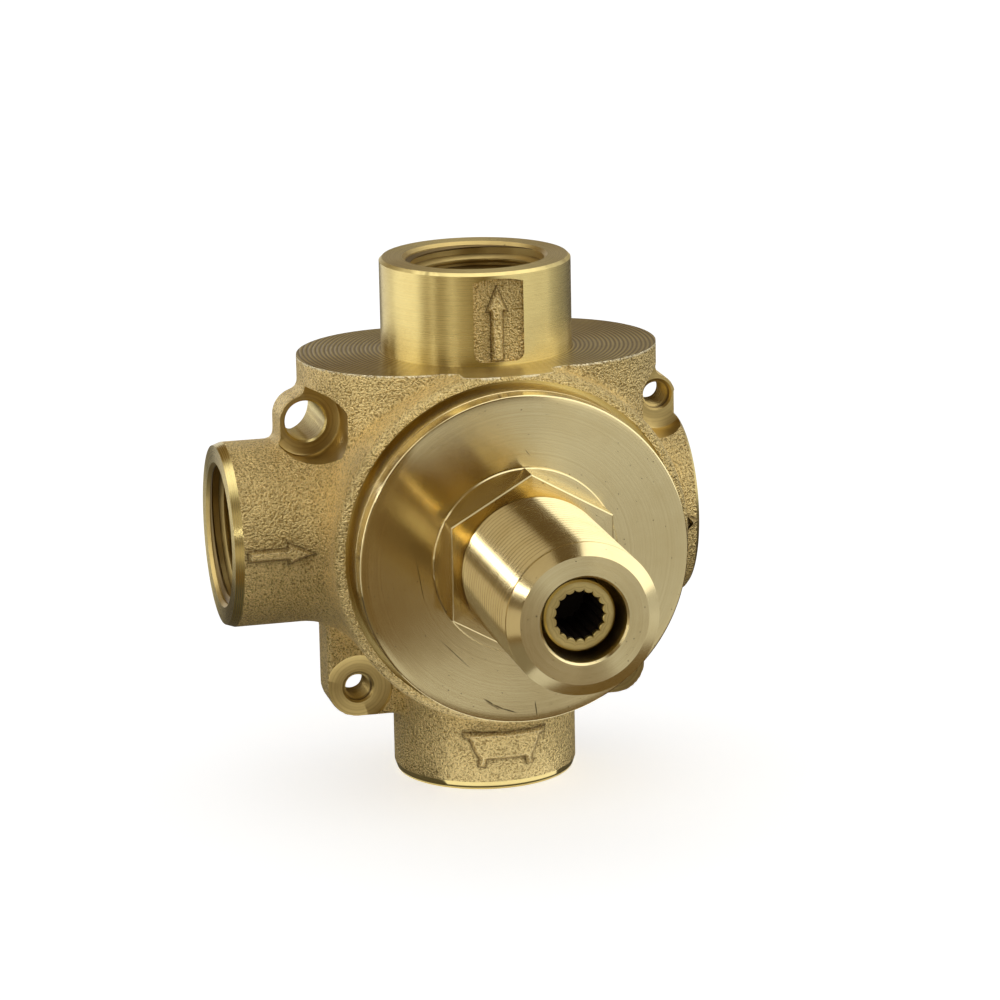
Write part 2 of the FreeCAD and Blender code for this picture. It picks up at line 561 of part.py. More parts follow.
def build_discs():
    fixed = washer("fixed_disc", "inlet_radius", "fixed_disc_radius", FIXED_DISC_BACK, DISC_JOINT)
    holes = new_sketch(fixed, "outlet_holes", "XZ", FIXED_DISC_BACK)
    for across, up in OUTLETS.values():
        circle(holes, across, up, "outlet_radius")
    extrude(fixed, "Pocket", holes, "fixed_disc_thickness", reverse=True)
    pin_holes = new_sketch(fixed, "disc_pin_holes", "XZ", FIXED_DISC_BACK)
    for sign in ("", "- "):
        circle(pin_holes, PIN_ACROSS, f"{sign}{PIN_UP}", "locating_pin_radius")
    extrude(fixed, "Pocket", pin_holes, "locating_pin_reach", reverse=True)

    moving = new_body("moving_disc")
    turned(moving, "moving_disc_form", "Revolution",
           [("0", DISC_JOINT), ("moving_disc_radius", DISC_JOINT),
            ("moving_disc_radius", CARRIER_BACK), ("0", CARRIER_BACK)])
    flow_slot = new_sketch(moving, "flow_slot", "XZ", DISC_JOINT)
    slot(flow_slot, "0", "outlet_pitch", "0", "outlet_radius")
    extrude(moving, "Pocket", flow_slot, "slot_depth", reverse=True)
    lug_outline(moving, "drive_notch", "lug_clearance", "Pocket", "lug_length + lug_clearance")

    carrier = new_body("disc_carrier")
    turned(carrier, "carrier_form", "Revolution",
           [("0", CARRIER_BACK), ("moving_disc_radius", CARRIER_BACK),
            ("moving_disc_radius", CARRIER_FRONT), ("0", CARRIER_FRONT)])
    lug_outline(carrier, "drive_lug", "0", "Pad", "lug_length")
    socket = new_sketch(carrier, "square_socket", "XZ", CARRIER_FRONT)
    half = "( square_width / 2 + square_clearance )"
    polygon(socket, [(half, half), (f"- {half}", half), (f"- {half}", f"- {half}"), (half, f"- {half}")])
    extrude(carrier, "Pocket", socket, "carrier_thickness")
    stop_slot = new_sketch(carrier, "stop_slot", "XY")
    reach = "( stop_pin_radius + stop_clearance )"
    near, far = f"- ( stop_pin_offset - {reach} )", f"- ( stop_pin_offset + {reach} )"
    slot_back = f"- ( {CARRIER_FRONT} - stop_slot_depth )"
    polygon(stop_slot, [(near, slot_back), (far, slot_back),
                        (far, f"- ( {CARRIER_FRONT} )"), (near, f"- ( {CARRIER_FRONT} )")])
    groove = turn(carrier, "Groove", stop_slot)
    groove.Midplane = True
    bind(groove, "Angle", f"turn_angle * 1 deg + 2 * asin( {reach} / stop_pin_offset )")


def lug_outline(body, name, clearance, kind, length):
    """One drive lug, or its notch through the rim, opposite the flow slot and repeated round the axis."""
    sketch = new_sketch(body, name, "XZ", CARRIER_BACK)
    half = f"( lug_width / 2 + {clearance} )"
    inner = f"- ( moving_disc_radius - lug_depth - {clearance} )"
    outer = "- ( moving_disc_radius + lug_depth )"
    if kind == "Pad":
        outer = f"- sqrt( moving_disc_radius ^ 2 - {half} ^ 2 )"
    polygon(sketch, [(inner, half), (inner, f"- {half}"), (outer, f"- {half}"), (outer, half)])
    feature = extrude(body, kind, sketch, length, reverse=kind == "Pad")
    around(body, feature, "drive_lugs")


def build_seals_and_pins():
    o_ring("bonnet_o_ring", BONNET_GROOVE_RADIUS, "chamber_radius",
           f"{FLANGE_SEAT} - ( {GROOVE_WIDTH} ) / 2")
    for label, middle in zip(("stem_rear_o_ring", "stem_front_o_ring"), ring_places()):
        o_ring(label, STEM_GROOVE_RADIUS, "stem_bore_radius", middle)
    washer("stem_thrust_washer", WASHER_HOLE, "shoulder_radius", SHOULDER_FRONT, RECESS_FRONT)
    washer("glide_ring", "glide_inner_radius", "glide_inner_radius + glide_width",
           CARRIER_FRONT, CAVITY_FRONT)
    pin("stop_pin", "- stop_pin_offset", "0", "stop_pin_radius", STOP_PIN_BACK, STOP_PIN_FRONT)
    for label, sign in (("upper_locating_pin", ""), ("lower_locating_pin", "- ")):
        pin(label, PIN_ACROSS, f"{sign}{PIN_UP}", "locating_pin_radius",
            LOCATING_PIN_BACK, LOCATING_PIN_FRONT)
    seats = {"inlet_seal": ("0", "0", "inlet_radius")}
    for outlet, (across, up) in OUTLETS.items():
        seats[f"{outlet}_outlet_seal"] = (across, up, "outlet_radius")
    for label, (across, up, radius) in seats.items():
        body = new_body(label)
        sketch = new_sketch(body, f"{label}_section", "XZ", f"{CHAMBER_FLOOR} - seal_pocket_depth")
        circle(sketch, across, up, radius)
        circle(sketch, across, up, f"{radius} + seal_width")
        extrude(body, "Pad", sketch, "seal_pocket_depth + disc_lift")


def export():
    doc.recompute()
    for thing in doc.Objects:
        if "Invalid" in thing.State or "Error" in thing.State:
            raise RuntimeError(f"{thing.Label} did not build: {thing.State}")
    os.makedirs("parts", exist_ok=True)
    for body in doc.findObjects("PartDesign::Body"):
        shape = body.Shape
        if shape.isNull() or not shape.isValid() or len(shape.Solids) != 1:
            raise RuntimeError(f"{body.Label} is not one valid solid")
        shape.exportStep(f"parts/{body.Label}.step")


build_valve_body()
build_bonnet()
build_stem()
build_discs()
build_seals_and_pins()
export()
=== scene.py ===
import json
import math
from contextlib import contextmanager
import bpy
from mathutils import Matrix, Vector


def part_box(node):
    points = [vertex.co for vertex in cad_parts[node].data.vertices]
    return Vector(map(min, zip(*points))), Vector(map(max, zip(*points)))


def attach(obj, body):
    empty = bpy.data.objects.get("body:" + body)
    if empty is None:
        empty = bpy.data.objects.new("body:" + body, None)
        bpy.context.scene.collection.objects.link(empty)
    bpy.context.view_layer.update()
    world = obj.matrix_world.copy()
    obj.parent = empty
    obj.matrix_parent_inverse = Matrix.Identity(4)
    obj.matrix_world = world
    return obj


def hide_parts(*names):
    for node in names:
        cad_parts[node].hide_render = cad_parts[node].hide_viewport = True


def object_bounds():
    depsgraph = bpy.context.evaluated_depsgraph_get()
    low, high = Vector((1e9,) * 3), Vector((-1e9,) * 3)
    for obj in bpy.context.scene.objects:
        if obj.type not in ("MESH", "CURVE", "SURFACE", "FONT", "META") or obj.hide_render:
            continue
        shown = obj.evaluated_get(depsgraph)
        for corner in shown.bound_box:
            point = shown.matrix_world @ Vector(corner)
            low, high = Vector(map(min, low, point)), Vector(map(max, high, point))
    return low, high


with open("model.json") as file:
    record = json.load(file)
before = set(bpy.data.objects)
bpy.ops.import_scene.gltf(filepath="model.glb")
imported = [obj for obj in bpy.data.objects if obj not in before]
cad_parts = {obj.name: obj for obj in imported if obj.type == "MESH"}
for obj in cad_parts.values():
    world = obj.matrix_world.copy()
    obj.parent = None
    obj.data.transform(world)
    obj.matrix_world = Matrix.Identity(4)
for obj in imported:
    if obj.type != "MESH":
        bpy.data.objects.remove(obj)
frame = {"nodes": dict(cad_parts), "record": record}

from types import SimpleNamespace

import bmesh
import bpy
import numpy as np
from bpy.props import FloatProperty, FloatVectorProperty, IntProperty, PointerProperty
from mathutils import Matrix, Vector

bl_info = {
    "name": "Shower Diverter Valve",
    "version": (1, 0, 0),
    "blender": (4, 5, 0),
    "location": "View3D > Sidebar > Valve",
    "description": "Dresses the packed diverter valve: casting, bonnet, stem, threads, marks and stage",
    "category": "Object",
}

CAD_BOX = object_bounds()
MM = 0.001
MOUNTS = {mount["name"]: mount for mount in frame["record"]["mounts"]}
BODY_LOW, BODY_HIGH = (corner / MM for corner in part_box("valve_body"))
BONNET_LOW, BONNET_HIGH = (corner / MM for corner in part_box("bonnet"))
STEM_LOW, STEM_HIGH = (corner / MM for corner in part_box("stem"))
PORT_DEPTH = -MOUNTS["top_port"]["pos_m"][1] / MM
# Points that meet on an axis are one within this, in metres
MERGE_WITHIN = 1e-7
# Faces lie on a level within this, in millimetres
LEVEL_WITHIN = 0.01
# Pulls of a mesh onto its surface: how many, the nudge in millimetres that finds the slope, and the least
# square of that slope
PULLS, NUDGE, LEAST_STEEP = 4, 0.01, 0.2
# Runs of the cutting tools past the metal, and the pad's and collar's outermost cuts, in millimetres
PAST = SimpleNamespace(end=3.0, side=4.0, mouth=2.0, hole=1.0, face=9.0, pad_radius=34.0, collar=42.0)
# Finishes of the casting, in the order of its material slots
BLASTED, CUT, BORE, PAD, FACED = range(5)
CASTING_FINISHES = ("blasted_brass", "cut_brass", "bore_brass", "pad_brass", "faced_brass")


def length(name, description, mm):
    """A size property, given in millimetres and kept in metres."""
    return FloatProperty(name=name, description=description, default=mm * MM, unit="LENGTH", precision=5)


def colour(name, description, value):
    return FloatVectorProperty(name=name, description=description, default=value, subtype="COLOR",
                               min=0.0, max=1.0)


def angle(name, description, degrees):
    return FloatProperty(name=name, description=description, default=math.radians(degrees), subtype="ANGLE")


class CastingSizes(bpy.types.PropertyGroup):
    """The raw casting and the cuts that finish it."""
    drum_radius: length("Drum radius", "Round body and collar", 27.2)
    collar_round: length("Collar rounding", "Rounding of the collar's front edge", 1.6)
    back_round: length("Back rounding", "Rounding of the back's edge", 4.0)
    shoulder_half_width: length("Shoulder half width", "Oval shoulder under the top port", 27.6)
    shoulder_top: length("Shoulder top", "Machined pad above the port axes", 26.3)
    shoulder_base: length("Shoulder base", "Lower end of the shoulder", 9.0)
    shoulder_round: length("Shoulder rounding", "Rounding of that lower end", 4.0)
    cast_edge: length("Cast edge", "Rounding of cast ends that are cut later", 0.5)
    top_port_radius: length("Top port radius", "Turned outside of the top port", 14.5)
    port_radius: length("Port radius", "Cast outside of the other ports", 14.05)
    turned_edge: length("Turned edge", "Chamfer round the top port's end", 0.45)
    taper_length: length("Taper length", "Turned taper at the cast ports' ends", 1.3)
    taper_depth: length("Taper depth", "Depth of that taper", 0.45)
    mouth_chamfer: length("Mouth chamfer", "Chamfer of the threaded mouths", 0.5)
    thread_depth: length("Thread depth", "Depth of the pipe threads", 15.0)
    waterway_radius: length("Waterway radius", "Waterway behind the threads", 6.5)
    flat_half_width: length("Arrow flat half width", "As-cast flat on the top port", 3.85)
    flat_base: length("Arrow flat base", "Lower edge of the flat", 26.9)
    flat_top: length("Arrow flat top", "Upper edge of the flat", 39.5)
    flat_depth: length("Arrow flat depth", "Flat under the turned outside", 0.75)
    flat_corner: length("Arrow flat corner", "Rounding of the flat's lower corners", 1.3)
    flat_arch: length("Arrow flat arch", "Rise of the flat's upper edge", 0.6)
    flat_shift: length("Arrow flat shift", "Flat to the right of the port's middle", 0.15)
    ear_front: length("Ear front", "Faced front of the ears", 20.2)
    ear_thickness: length("Ear thickness", "Thickness of the ears", 7.0)
    clearance_ear_radius: length("Clearance ear radius", "Upper left ear", 3.9)
    tapped_ear_radius: length("Tapped ear radius", "Upper right ear", 3.0)
    lower_ear_radius: length("Lower ear radius", "Lower ears", 4.7)
    ear_front_round: length("Ear front rounding", "Front edge of the raw ears", 0.8)
    ear_back_round: length("Ear back rounding", "Back edge of the ears", 1.2)
    ear_face_margin: length("Ear facing margin", "Facing of the lower ears past their edge", 0.5)
    ear_face_round: length("Ear facing rounding", "Corner between facing and wall", 0.4)
    hole_chamfer: length("Hole chamfer", "Chamfer of the ear holes", 0.3)
    spot_face_radius: length("Spot face radius", "Spot faces of the upper ears", 5.4)
    chamber_radius: length("Chamber radius", "Chamber in the collar", 22.0)
    chamber_floor: length("Chamber floor", "Chamber's floor in front of the back", 29.2)
    seal_width: length("Seal width", "Wall of the flat seals in the floor", 1.5)
    way_end_room: length("Waterway end", "Waterways past their floor holes", 0.6)
    bare_end: length("Bare end", "Turned edge of the short right port", 0.4)
    flange_seat: length("Flange seat", "Seat of the bonnet's flange", 37.2)
    flange_gap: length("Flange gap", "Gap round the flange", 0.85)
    fillet: length("Cast fillet", "Width over which cast forms flow together", 5.0)
    shoulder_fillet: length("Shoulder fillet", "The same between drum and shoulder", 1.0)
    ear_fillet: length("Ear fillet", "The same at the ears", 1.4)
    skin: length("Machining skin", "Cast metal left for the cuts", 0.5)
    voxel: length("Voxel", "Mesh step of the casting", 0.6)


class BonnetSizes(bpy.types.PropertyGroup):
    """The turned bonnet with its hexagon and nose."""
    flange_front: length("Flange front", "Turned face in front of the back", 45.5)
    flange_round: length("Flange rounding", "Broken edge of the flange", 0.25)
    rim_groove: length("Rim groove", "Fine groove round the flange, behind its face", 3.1)
    rim_groove_half: length("Rim groove half width", "Half width and depth of that groove", 0.16)
    hex_across_flats: length("Hexagon", "Width across the flats", 24.4)
    hex_ledge: length("Hexagon ledge", "Round ledge under the hexagon", 0.5)
    hex_height: length("Hexagon height", "Hexagon in front of the flange", 4.7)
    hex_bevel: length("Hexagon bevel", "Broken edges of ledge and hexagon", 0.18)
    nose_face_radius: length("Nose face radius", "Flat end of the nose", 9.34)
    nose_chamfer: length("Nose chamfer", "Length of the nose's chamfer", 1.0)
    stem_bore: length("Stem bore", "Bore of the nose", 6.22)
    bore_chamfer: length("Bore chamfer", "Chamfer of that bore", 0.3)
    spigot_radius: length("Spigot radius", "Spigot inside the collar", 21.9)
    cavity_radius: length("Cavity radius", "Cavity for the discs", 19.3)
    cavity_front: length("Cavity front", "Front of that cavity", 40.7)
    recess_radius: length("Recess radius", "Recess of the stem's shoulder", 9.0)
    recess_front: length("Recess front", "Front of that recess", 43.2)
    thread_pitch: length("Nose thread pitch", "Twenty turns to the inch", 1.27)
    thread_height: length("Nose thread height", "From root to crest", 0.78)
    thread_land: length("Nose land", "Plain land behind the chamfer", 0.45)
    segments: IntProperty(name="Segments", description="Facets round the axis", default=192, min=48)


class StemSizes(bpy.types.PropertyGroup):
    """The stem's front end with its spline socket."""
    neck_radius: length("Neck radius", "Front part of the stem", 5.2)
    journal_radius: length("Journal radius", "Stem inside the nose", 6.12)
    journal_front: length("Journal front", "Front of the journal", 60.2)
    shoulder_radius: length("Shoulder radius", "Thrust shoulder", 8.6)
    shoulder_front: length("Shoulder front", "Front of the shoulder", 42.0)
    shoulder_back: length("Shoulder back", "Back of the shoulder", 39.5)
    square_half: length("Square half width", "Drive square", 4.5)
    crest_radius: length("Spline crest radius", "Round crests of the teeth", 3.4)
    root_radius: length("Spline root radius", "Pointed roots between the teeth", 3.82)
    socket_depth: length("Socket depth", "Depth of the spline socket", 11.0)
    edge: length("Stem edge", "Chamfer of the stem's front", 0.3)
    mouth_chamfer: length("Socket chamfer", "Chamfer of the socket's mouth", 0.12)
    # Past this depth the socket's walls and floor are painted near black, as painted shade.
    unshaded_mouth_depth: length("Clean depth", "Clean metal inside that mouth", 0.9)
    teeth: IntProperty(name="Teeth", description="Teeth of the spline", default=18, min=3)


class ThreadSizes(bpy.types.PropertyGroup):
    """Inside threads of the ports and the ears."""
    pipe_pitch: length("Pipe pitch", "Fourteen turns to the inch", 1.814)
    pipe_height: length("Pipe thread height", "From root to crest", 1.05)
    pipe_length: length("Pipe thread length", "Cut thread in each port", 12.6)
    ear_pitch: length("Ear pitch", "Thread of the tapped ears", 0.8)
    ear_height: length("Ear thread height", "From root to crest", 0.38)


class MarkSizes(bpy.types.PropertyGroup):
    """Raised cast marks: flow arrows and the bath sign."""
    relief: length("Relief", "Height of the marks", 0.6)
    arrow_shift: length("Arrow shift", "Top arrow to the right of the port's middle", -0.08)
    bath_height: length("Bath height", "Middle of the bath sign", -33.1)
    # Reach of the painted shade on the casting round the marks' foot.
    shade_reach: length("Soiled foot", "Reach of the dirt round the marks", 0.5)
    # Width of the painted highlight along the top edge of the marks.
    highlight_rim: length("Rubbed rim", "Bright edge of the marks' tops", 0.3)
    voxel: length("Mark voxel", "Mesh step of the marks", 0.14)


class ValveColours(bpy.types.PropertyGroup):
    """Colours of the brass and of the hidden parts."""
    cast: colour("Cast brass", "Blasted casting", (0.86, 0.67, 0.30))
    cast_dark: colour("Cast shade", "Pits of the blasted grain", (0.26, 0.17, 0.05))
    turned: colour("Turned brass", "Cut brass of the casting", (0.75, 0.61, 0.25))
    turned_dark: colour("Turned shade", "Duller streaks of that brass", (0.58, 0.44, 0.17))
    bonnet: colour("Bonnet brass", "Paler bar brass of the bonnet and stem", (0.80, 0.67, 0.36))
    bonnet_dark: colour("Bonnet shade", "Duller streaks of that brass", (0.66, 0.52, 0.24))
    bore: colour("Bore brass", "Dull brass inside the bores", (0.34, 0.23, 0.08))
    # Painted shade: near-black colour of the stem socket past its mouth.
    socket: colour("Socket", "Greased socket of the stem", (0.030, 0.018, 0.010))
    # Painted highlight: the colour laid on the pad's cast edge and the marks' rims by the point attribute.
    painted_highlight: colour("Rubbed brass", "Bright edges of the casting", (1.0, 0.90, 0.62))
    # Colour of the real pits and scratches in the cut brass, and also the colour that the painted shade mixes
    # in.
    pit_and_painted_shade: colour("Pit", "Casting pits in the cut brass", (0.16, 0.11, 0.045))
    rubber: colour("Rubber", "Seals", (0.025, 0.025, 0.027))
    ceramic: colour("Ceramic", "Discs", (0.88, 0.87, 0.84))
    plastic: colour("Plastic", "Washers and carrier", (0.80, 0.79, 0.74))
    steel: colour("Steel", "Pins", (0.58, 0.58, 0.58))


class StageSettings(bpy.types.PropertyGroup):
    """Camera, floor and light."""
    azimuth: angle("Azimuth", "Camera to the left of the front", -13.679)
    elevation: angle("Elevation", "Camera above the port axes", 14.51)
    roll: angle("Roll", "Camera's turn about its view", -1.139)
    distance: length("Distance", "Camera from its aim", 650.2)
    aim_right: length("Aim right", "Aim to the right of the ports' crossing", 3.077)
    aim_up: length("Aim up", "Aim above the ports' crossing", 2.097)
    lens: FloatProperty(name="Lens", description="Focal length for the sensor", default=152.7, unit="CAMERA")
    sensor: FloatProperty(name="Sensor", description="Width of the sensor", default=36.0, unit="CAMERA")
    floor: colour("Floor", "Pale floor", (0.9, 0.9, 0.9))
    floor_half: length("Floor half width", "Half the floor's side", 4000.0)
    floor_lift: FloatProperty(name="Floor lift", description="Light that sight adds to it", default=0.55)
    sky: FloatProperty(name="Sky", description="Strength of the light from all round", default=0.75)


def sizes(name):
    """A group's sizes in millimetres, and its plain numbers as they are."""
    group = getattr(bpy.context.scene, name)
    read = SimpleNamespace()
    for prop in group.bl_rna.properties:
        if prop.identifier in {"rna_type", "name"}:
            continue
        value = getattr(group, prop.identifier)
        setattr(read, prop.identifier, value / MM if prop.unit == "LENGTH" else value)
    return read


# Axes of revolution: origin, two across, one along, in millimetres
PORT_CROSS = (0.0, -PORT_DEPTH, 0.0)
FRONT_AXIS = ((0, 0, 0), (1, 0, 0), (0, 0, 1), (0, -1, 0))
TOP_AXIS = (PORT_CROSS, (1, 0, 0), (0, 1, 0), (0, 0, 1))
BOTTOM_AXIS = (PORT_CROSS, (1, 0, 0), (0, -1, 0), (0, 0, -1))
LEFT_AXIS = (PORT_CROSS, (0, 0, 1), (0, 1, 0), (-1, 0, 0))
RIGHT_AXIS = (PORT_CROSS, (0, 0, 1), (0, -1, 0), (1, 0, 0))
PORTS = {
    "top": (TOP_AXIS, BODY_HIGH.z),
    "left": (LEFT_AXIS, -BODY_LOW.x),
    "right": (RIGHT_AXIS, BODY_HIGH.x),
    "bottom": (BOTTOM_AXIS, -BODY_LOW.z),
}


def seal_place(node):
    """Flat seal in the chamber floor: its middle, outer radius and back, in millimetres."""
    low, high = (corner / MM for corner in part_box(node))
    return SimpleNamespace(across=(low.x + high.x) / 2, up=(low.z + high.z) / 2,
                           radius=(high.x - low.x) / 2, back=-high.y)


SEALS = {port: seal_place(node) for port, node in (
    ("top", "top_outlet_seal"), ("left", "inlet_seal"), ("right", "right_outlet_seal"),
    ("bottom", "bottom_outlet_seal"))}


def ear_places():
    """Ear holes: name, across, up, radius of the hole."""
    places = []
    for name in ("upper_left_ear", "upper_right_ear"):
        mount = MOUNTS[name]
        places.append((name, mount["pos_m"][0] / MM, mount["pos_m"][2] / MM, mount["dims"]["r_mm"]))
    mount = MOUNTS["lower_ears"]
    half = mount["dims"]["spacing_x_mm"] / 2
    for name, side in (("lower_left_ear", -half), ("lower_right_ear", half)):
        places.append((name, side, mount["pos_m"][2] / MM, mount["dims"]["hole_r_mm"]))
    return places


def front_axis_at(across, up):
    return ((across, 0, up), *FRONT_AXIS[1:])


def revolve(rows, axis, segments, closed):
    """Rings of (radius, distance along the axis); a radius may be an array, one value per facet."""
    origin, across, up, along = (np.array(part, float) for part in axis)
    turn = np.arange(segments) / segments * 2 * math.pi
    spokes = np.outer(np.cos(turn), across) + np.outer(np.sin(turn), up)
    rings = []
    path = [0.0]
    for k, (radius, place) in enumerate(rows):
        radius = np.broadcast_to(np.asarray(radius, float), segments)
        rings.append(origin + spokes * radius[:, None] + along * place)
        if k:
            path.append(path[-1] + math.hypot(radius.mean() - last[0], place - last[1]))
        last = (radius.mean(), place)
    points = np.concatenate(rings)
    near = np.arange(segments)
    far = (near + 1) % segments
    faces, layout = [], []
    count = len(rows)
    for k in range(count if closed else count - 1):
        a, b = k * segments, ((k + 1) % count) * segments
        low, high = path[k], path[k + 1] if k + 1 < count else path[k] + 1.0
        faces.append(np.stack([a + near, a + far, b + far, b + near], 1))
        u0, u1 = near / segments, (near + 1) / segments
        layout.append(np.stack([
            np.stack([u0, np.full(segments, low)], 1), np.stack([u1, np.full(segments, low)], 1),
            np.stack([u1, np.full(segments, high)], 1), np.stack([u0, np.full(segments, high)], 1)], 1))
    return outward(points, np.concatenate(faces), np.concatenate(layout))


def outward(points, faces, layout):
    """Turns a closed mesh's faces round where its volume is negative."""
    a, b, c = points[faces[:, 0]], points[faces[:, 1]], points[faces[:, 2]]
    d = points[faces[:, 3]]
    volume = np.einsum("ij,ij->i", a, np.cross(b, c) + np.cross(c, d)).sum()
    if volume < 0:
        return points, faces[:, ::-1], layout[:, ::-1]
    return points, faces, layout


def new_mesh(name, points, faces, layout=None):
    """Mesh from millimetre points and four-sided faces, with the turning map if one is given."""
    mesh = bpy.data.meshes.new(name)
    mesh.vertices.add(len(points))
    mesh.vertices.foreach_set("co", (np.asarray(points) * MM).astype(np.float32).ravel())
    mesh.loops.add(faces.size)
    mesh.loops.foreach_set("vertex_index", faces.astype(np.int32).ravel())
    mesh.polygons.add(len(faces))
    mesh.polygons.foreach_set("loop_start", np.arange(0, faces.size, 4, dtype=np.int32))
    mesh.update(calc_edges=True)
    if layout is not None:
        chart = mesh.uv_layers.new(name="turning")
        chart.data.foreach_set("uv", layout.astype(np.float32).ravel())
    mesh.validate()
    return mesh


def read_values(parts, name, width=1, kind=np.int32):
    """Values of a mesh's points, corners or faces, as rows where each has several."""
    values = np.empty(len(parts) * width, kind)
    parts.foreach_get(name, values)
    return values.reshape(-1, width) if width > 1 else values


def mesh_points(mesh):
    """Points of a mesh in millimetres."""
    return read_values(mesh.vertices, "co", 3, np.float32) / MM


def set_painted_light(mesh, values):
    """Painted light of each point for the finishes: one is full painted shade, nought is none, minus one is a
    full painted highlight.
    """
    layer = mesh.attributes.get("soil") or mesh.attributes.new("soil", "FLOAT", "POINT")
    layer.data.foreach_set("value", np.asarray(values, np.float32))


def new_object(name, data):
    """An object of the scene for a mesh or a camera."""
    piece = bpy.data.objects.new(name, data)
    bpy.context.scene.collection.objects.link(piece)
    return piece


@contextmanager
def edited(mesh, *sources):
    """Opens a mesh, or what its sources make together, for edits and writes them to it at the end."""
    work = bmesh.new()
    for source in sources or (mesh,):
        work.from_mesh(source)
    yield work
    work.to_mesh(mesh)
    work.free()


def merge_poles(mesh):
    """Joins the points that meet on the axis and drops the faces that fold away there."""
    with edited(mesh) as work:
        bmesh.ops.remove_doubles(work, verts=work.verts, dist=MERGE_WITHIN)
        bmesh.ops.dissolve_degenerate(work, edges=work.edges, dist=MERGE_WITHIN)


def finish_piece(piece, body, materials, sharp):
    """Materials, smooth shading with corners sharp from an angle in degrees, and body."""
    for material in materials:
        piece.data.materials.append(material)
    piece.data.shade_smooth()
    piece.data.set_sharp_from_angle(angle=math.radians(sharp))
    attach(piece, body)


# Casting, as a distance field in millimetres
def rounded_prism(outline, along, low, high, low_round, high_round):
    """Distance to an outline drawn out from low to high, with its two ends rounded."""
    middle, half = (low + high) / 2, (high - low) / 2
    edge = np.where(along > middle, high_round, low_round)
    side = outline + edge
    end = np.abs(along - middle) - half + edge
    inside = np.minimum(np.maximum(side, end), 0)
    return inside + np.hypot(np.maximum(side, 0), np.maximum(end, 0)) - edge


def flow_together(a, b, width):
    """Union of two distances with a soft fillet between them."""
    near = np.maximum(width - np.abs(a - b), 0) / width
    return np.minimum(a, b) - near * near * width / 4


def casting_distance(points, c):
    """Distance to the raw casting: drum, shoulder, ports and ears."""
    x, y, z = points[..., 0], points[..., 1], points[..., 2]
    depth = y + PORT_DEPTH
    form = rounded_prism(np.hypot(x, z) - c.drum_radius, y, BODY_LOW.y, 0.0, c.collar_round, c.back_round)
    oval = np.hypot(np.maximum(np.abs(x) - (c.shoulder_half_width - PORT_DEPTH), 0), depth) - PORT_DEPTH
    shoulder = rounded_prism(oval, z, c.shoulder_base, c.shoulder_top + c.skin, c.shoulder_round, c.cast_edge)
    form = flow_together(form, shoulder, c.shoulder_fillet)
    for name, (axis, reach) in PORTS.items():
        aside, along = (x, z * axis[3][2]) if axis[3][2] else (z, x * axis[3][0])
        radius = c.top_port_radius + c.skin if name == "top" else c.port_radius
        outline = np.hypot(aside, depth) - radius
        tube = rounded_prism(outline, along, 0.0, reach + c.skin, c.cast_edge, c.cast_edge)
        form = flow_together(form, tube, c.fillet)
    radii = (c.clearance_ear_radius, c.tapped_ear_radius, c.lower_ear_radius, c.lower_ear_radius)
    for (name, across, up, hole), radius in zip(ear_places(), radii):
        to_web = z - np.clip(z, min(up, 0.0), max(up, 0.0))
        outline = np.hypot(x - across, to_web) - radius
        if up < 0:
            to_port = x - np.clip(x, min(across, 0.0), max(across, 0.0))
            outline = np.minimum(outline, np.hypot(to_port, z - up) - radius)
        lug = rounded_prism(outline, y, -c.ear_front - c.skin, c.ear_thickness - c.ear_front,
                            c.ear_front_round, c.ear_back_round)
        form = flow_together(form, lug, c.ear_fillet)
    return np.maximum(form, y)


def skin_mesh(distance, low, high, step, name):
    """Mesh of the surface where a distance is nought, one point in each cell that it crosses."""
    ranges = [np.arange(a - 2 * step, b + 2.5 * step, step) for a, b in zip(low, high)]
    grid = np.stack(np.meshgrid(*ranges, indexing="ij"), -1)
    field = distance(grid)
    inside = field < 0
    corners = [(i, j, k) for i in (0, 1) for j in (0, 1) for k in (0, 1)]
    shape = tuple(n - 1 for n in field.shape)

    def part(array, corner):
        return array[tuple(slice(o, o + n) for o, n in zip(corner, shape))]

    filled = sum(part(inside, corner).astype(np.int8) for corner in corners)
    cells = np.argwhere((filled > 0) & (filled < 8))
    total, hits = np.zeros((len(cells), 3)), np.zeros(len(cells))
    for first in corners:
        for side in range(3):
            if first[side]:
                continue
            second = tuple(o + (n == side) for n, o in enumerate(first))
            a = part(field, first)[tuple(cells.T)]
            b = part(field, second)[tuple(cells.T)]
            crossed = (a < 0) != (b < 0)
            share = np.where(crossed, a / np.where(crossed, a - b, 1), 0)
            place = np.array(first, float) + share[:, None] * (np.arange(3) == side)
            total += place * crossed[:, None]
            hits += crossed
    origin = np.array([values[0] for values in ranges])
    points = origin + (cells + total / hits[:, None]) * step
    for _ in range(PULLS):
        here = distance(points)
        slope = np.stack([distance(points + nudge) - here for nudge in np.eye(3) * NUDGE], -1) / NUDGE
        steep = np.maximum((slope ** 2).sum(-1), LEAST_STEEP)
        points -= np.clip(here, -step, step)[:, None] * slope / steep[:, None]
    number = np.full(shape, -1)
    number[tuple(cells.T)] = np.arange(len(cells))
    faces = []
    for side in range(3):
        one, two = (side + 1) % 3, (side + 2) % 3
        span = [slice(1, -1)] * 3
        span[side] = slice(0, shape[side])
        span_next = list(span)
        span_next[side] = slice(1, shape[side] + 1)
        a, b = inside[tuple(span)], inside[tuple(span_next)]
        edges = np.argwhere(a != b) + np.array([0 if n == side else 1 for n in range(3)])
        leaving = a[a != b]
        ring = []
        for step_one, step_two in ((-1, -1), (0, -1), (0, 0), (-1, 0)):
            cell = edges.copy()
            cell[:, one] += step_one
            cell[:, two] += step_two
            ring.append(number[tuple(cell.T)])
        ring = np.stack(ring, 1)
        faces.append(np.where(leaving[:, None], ring, ring[:, ::-1]))
    return new_mesh(name, points, np.concatenate(faces))


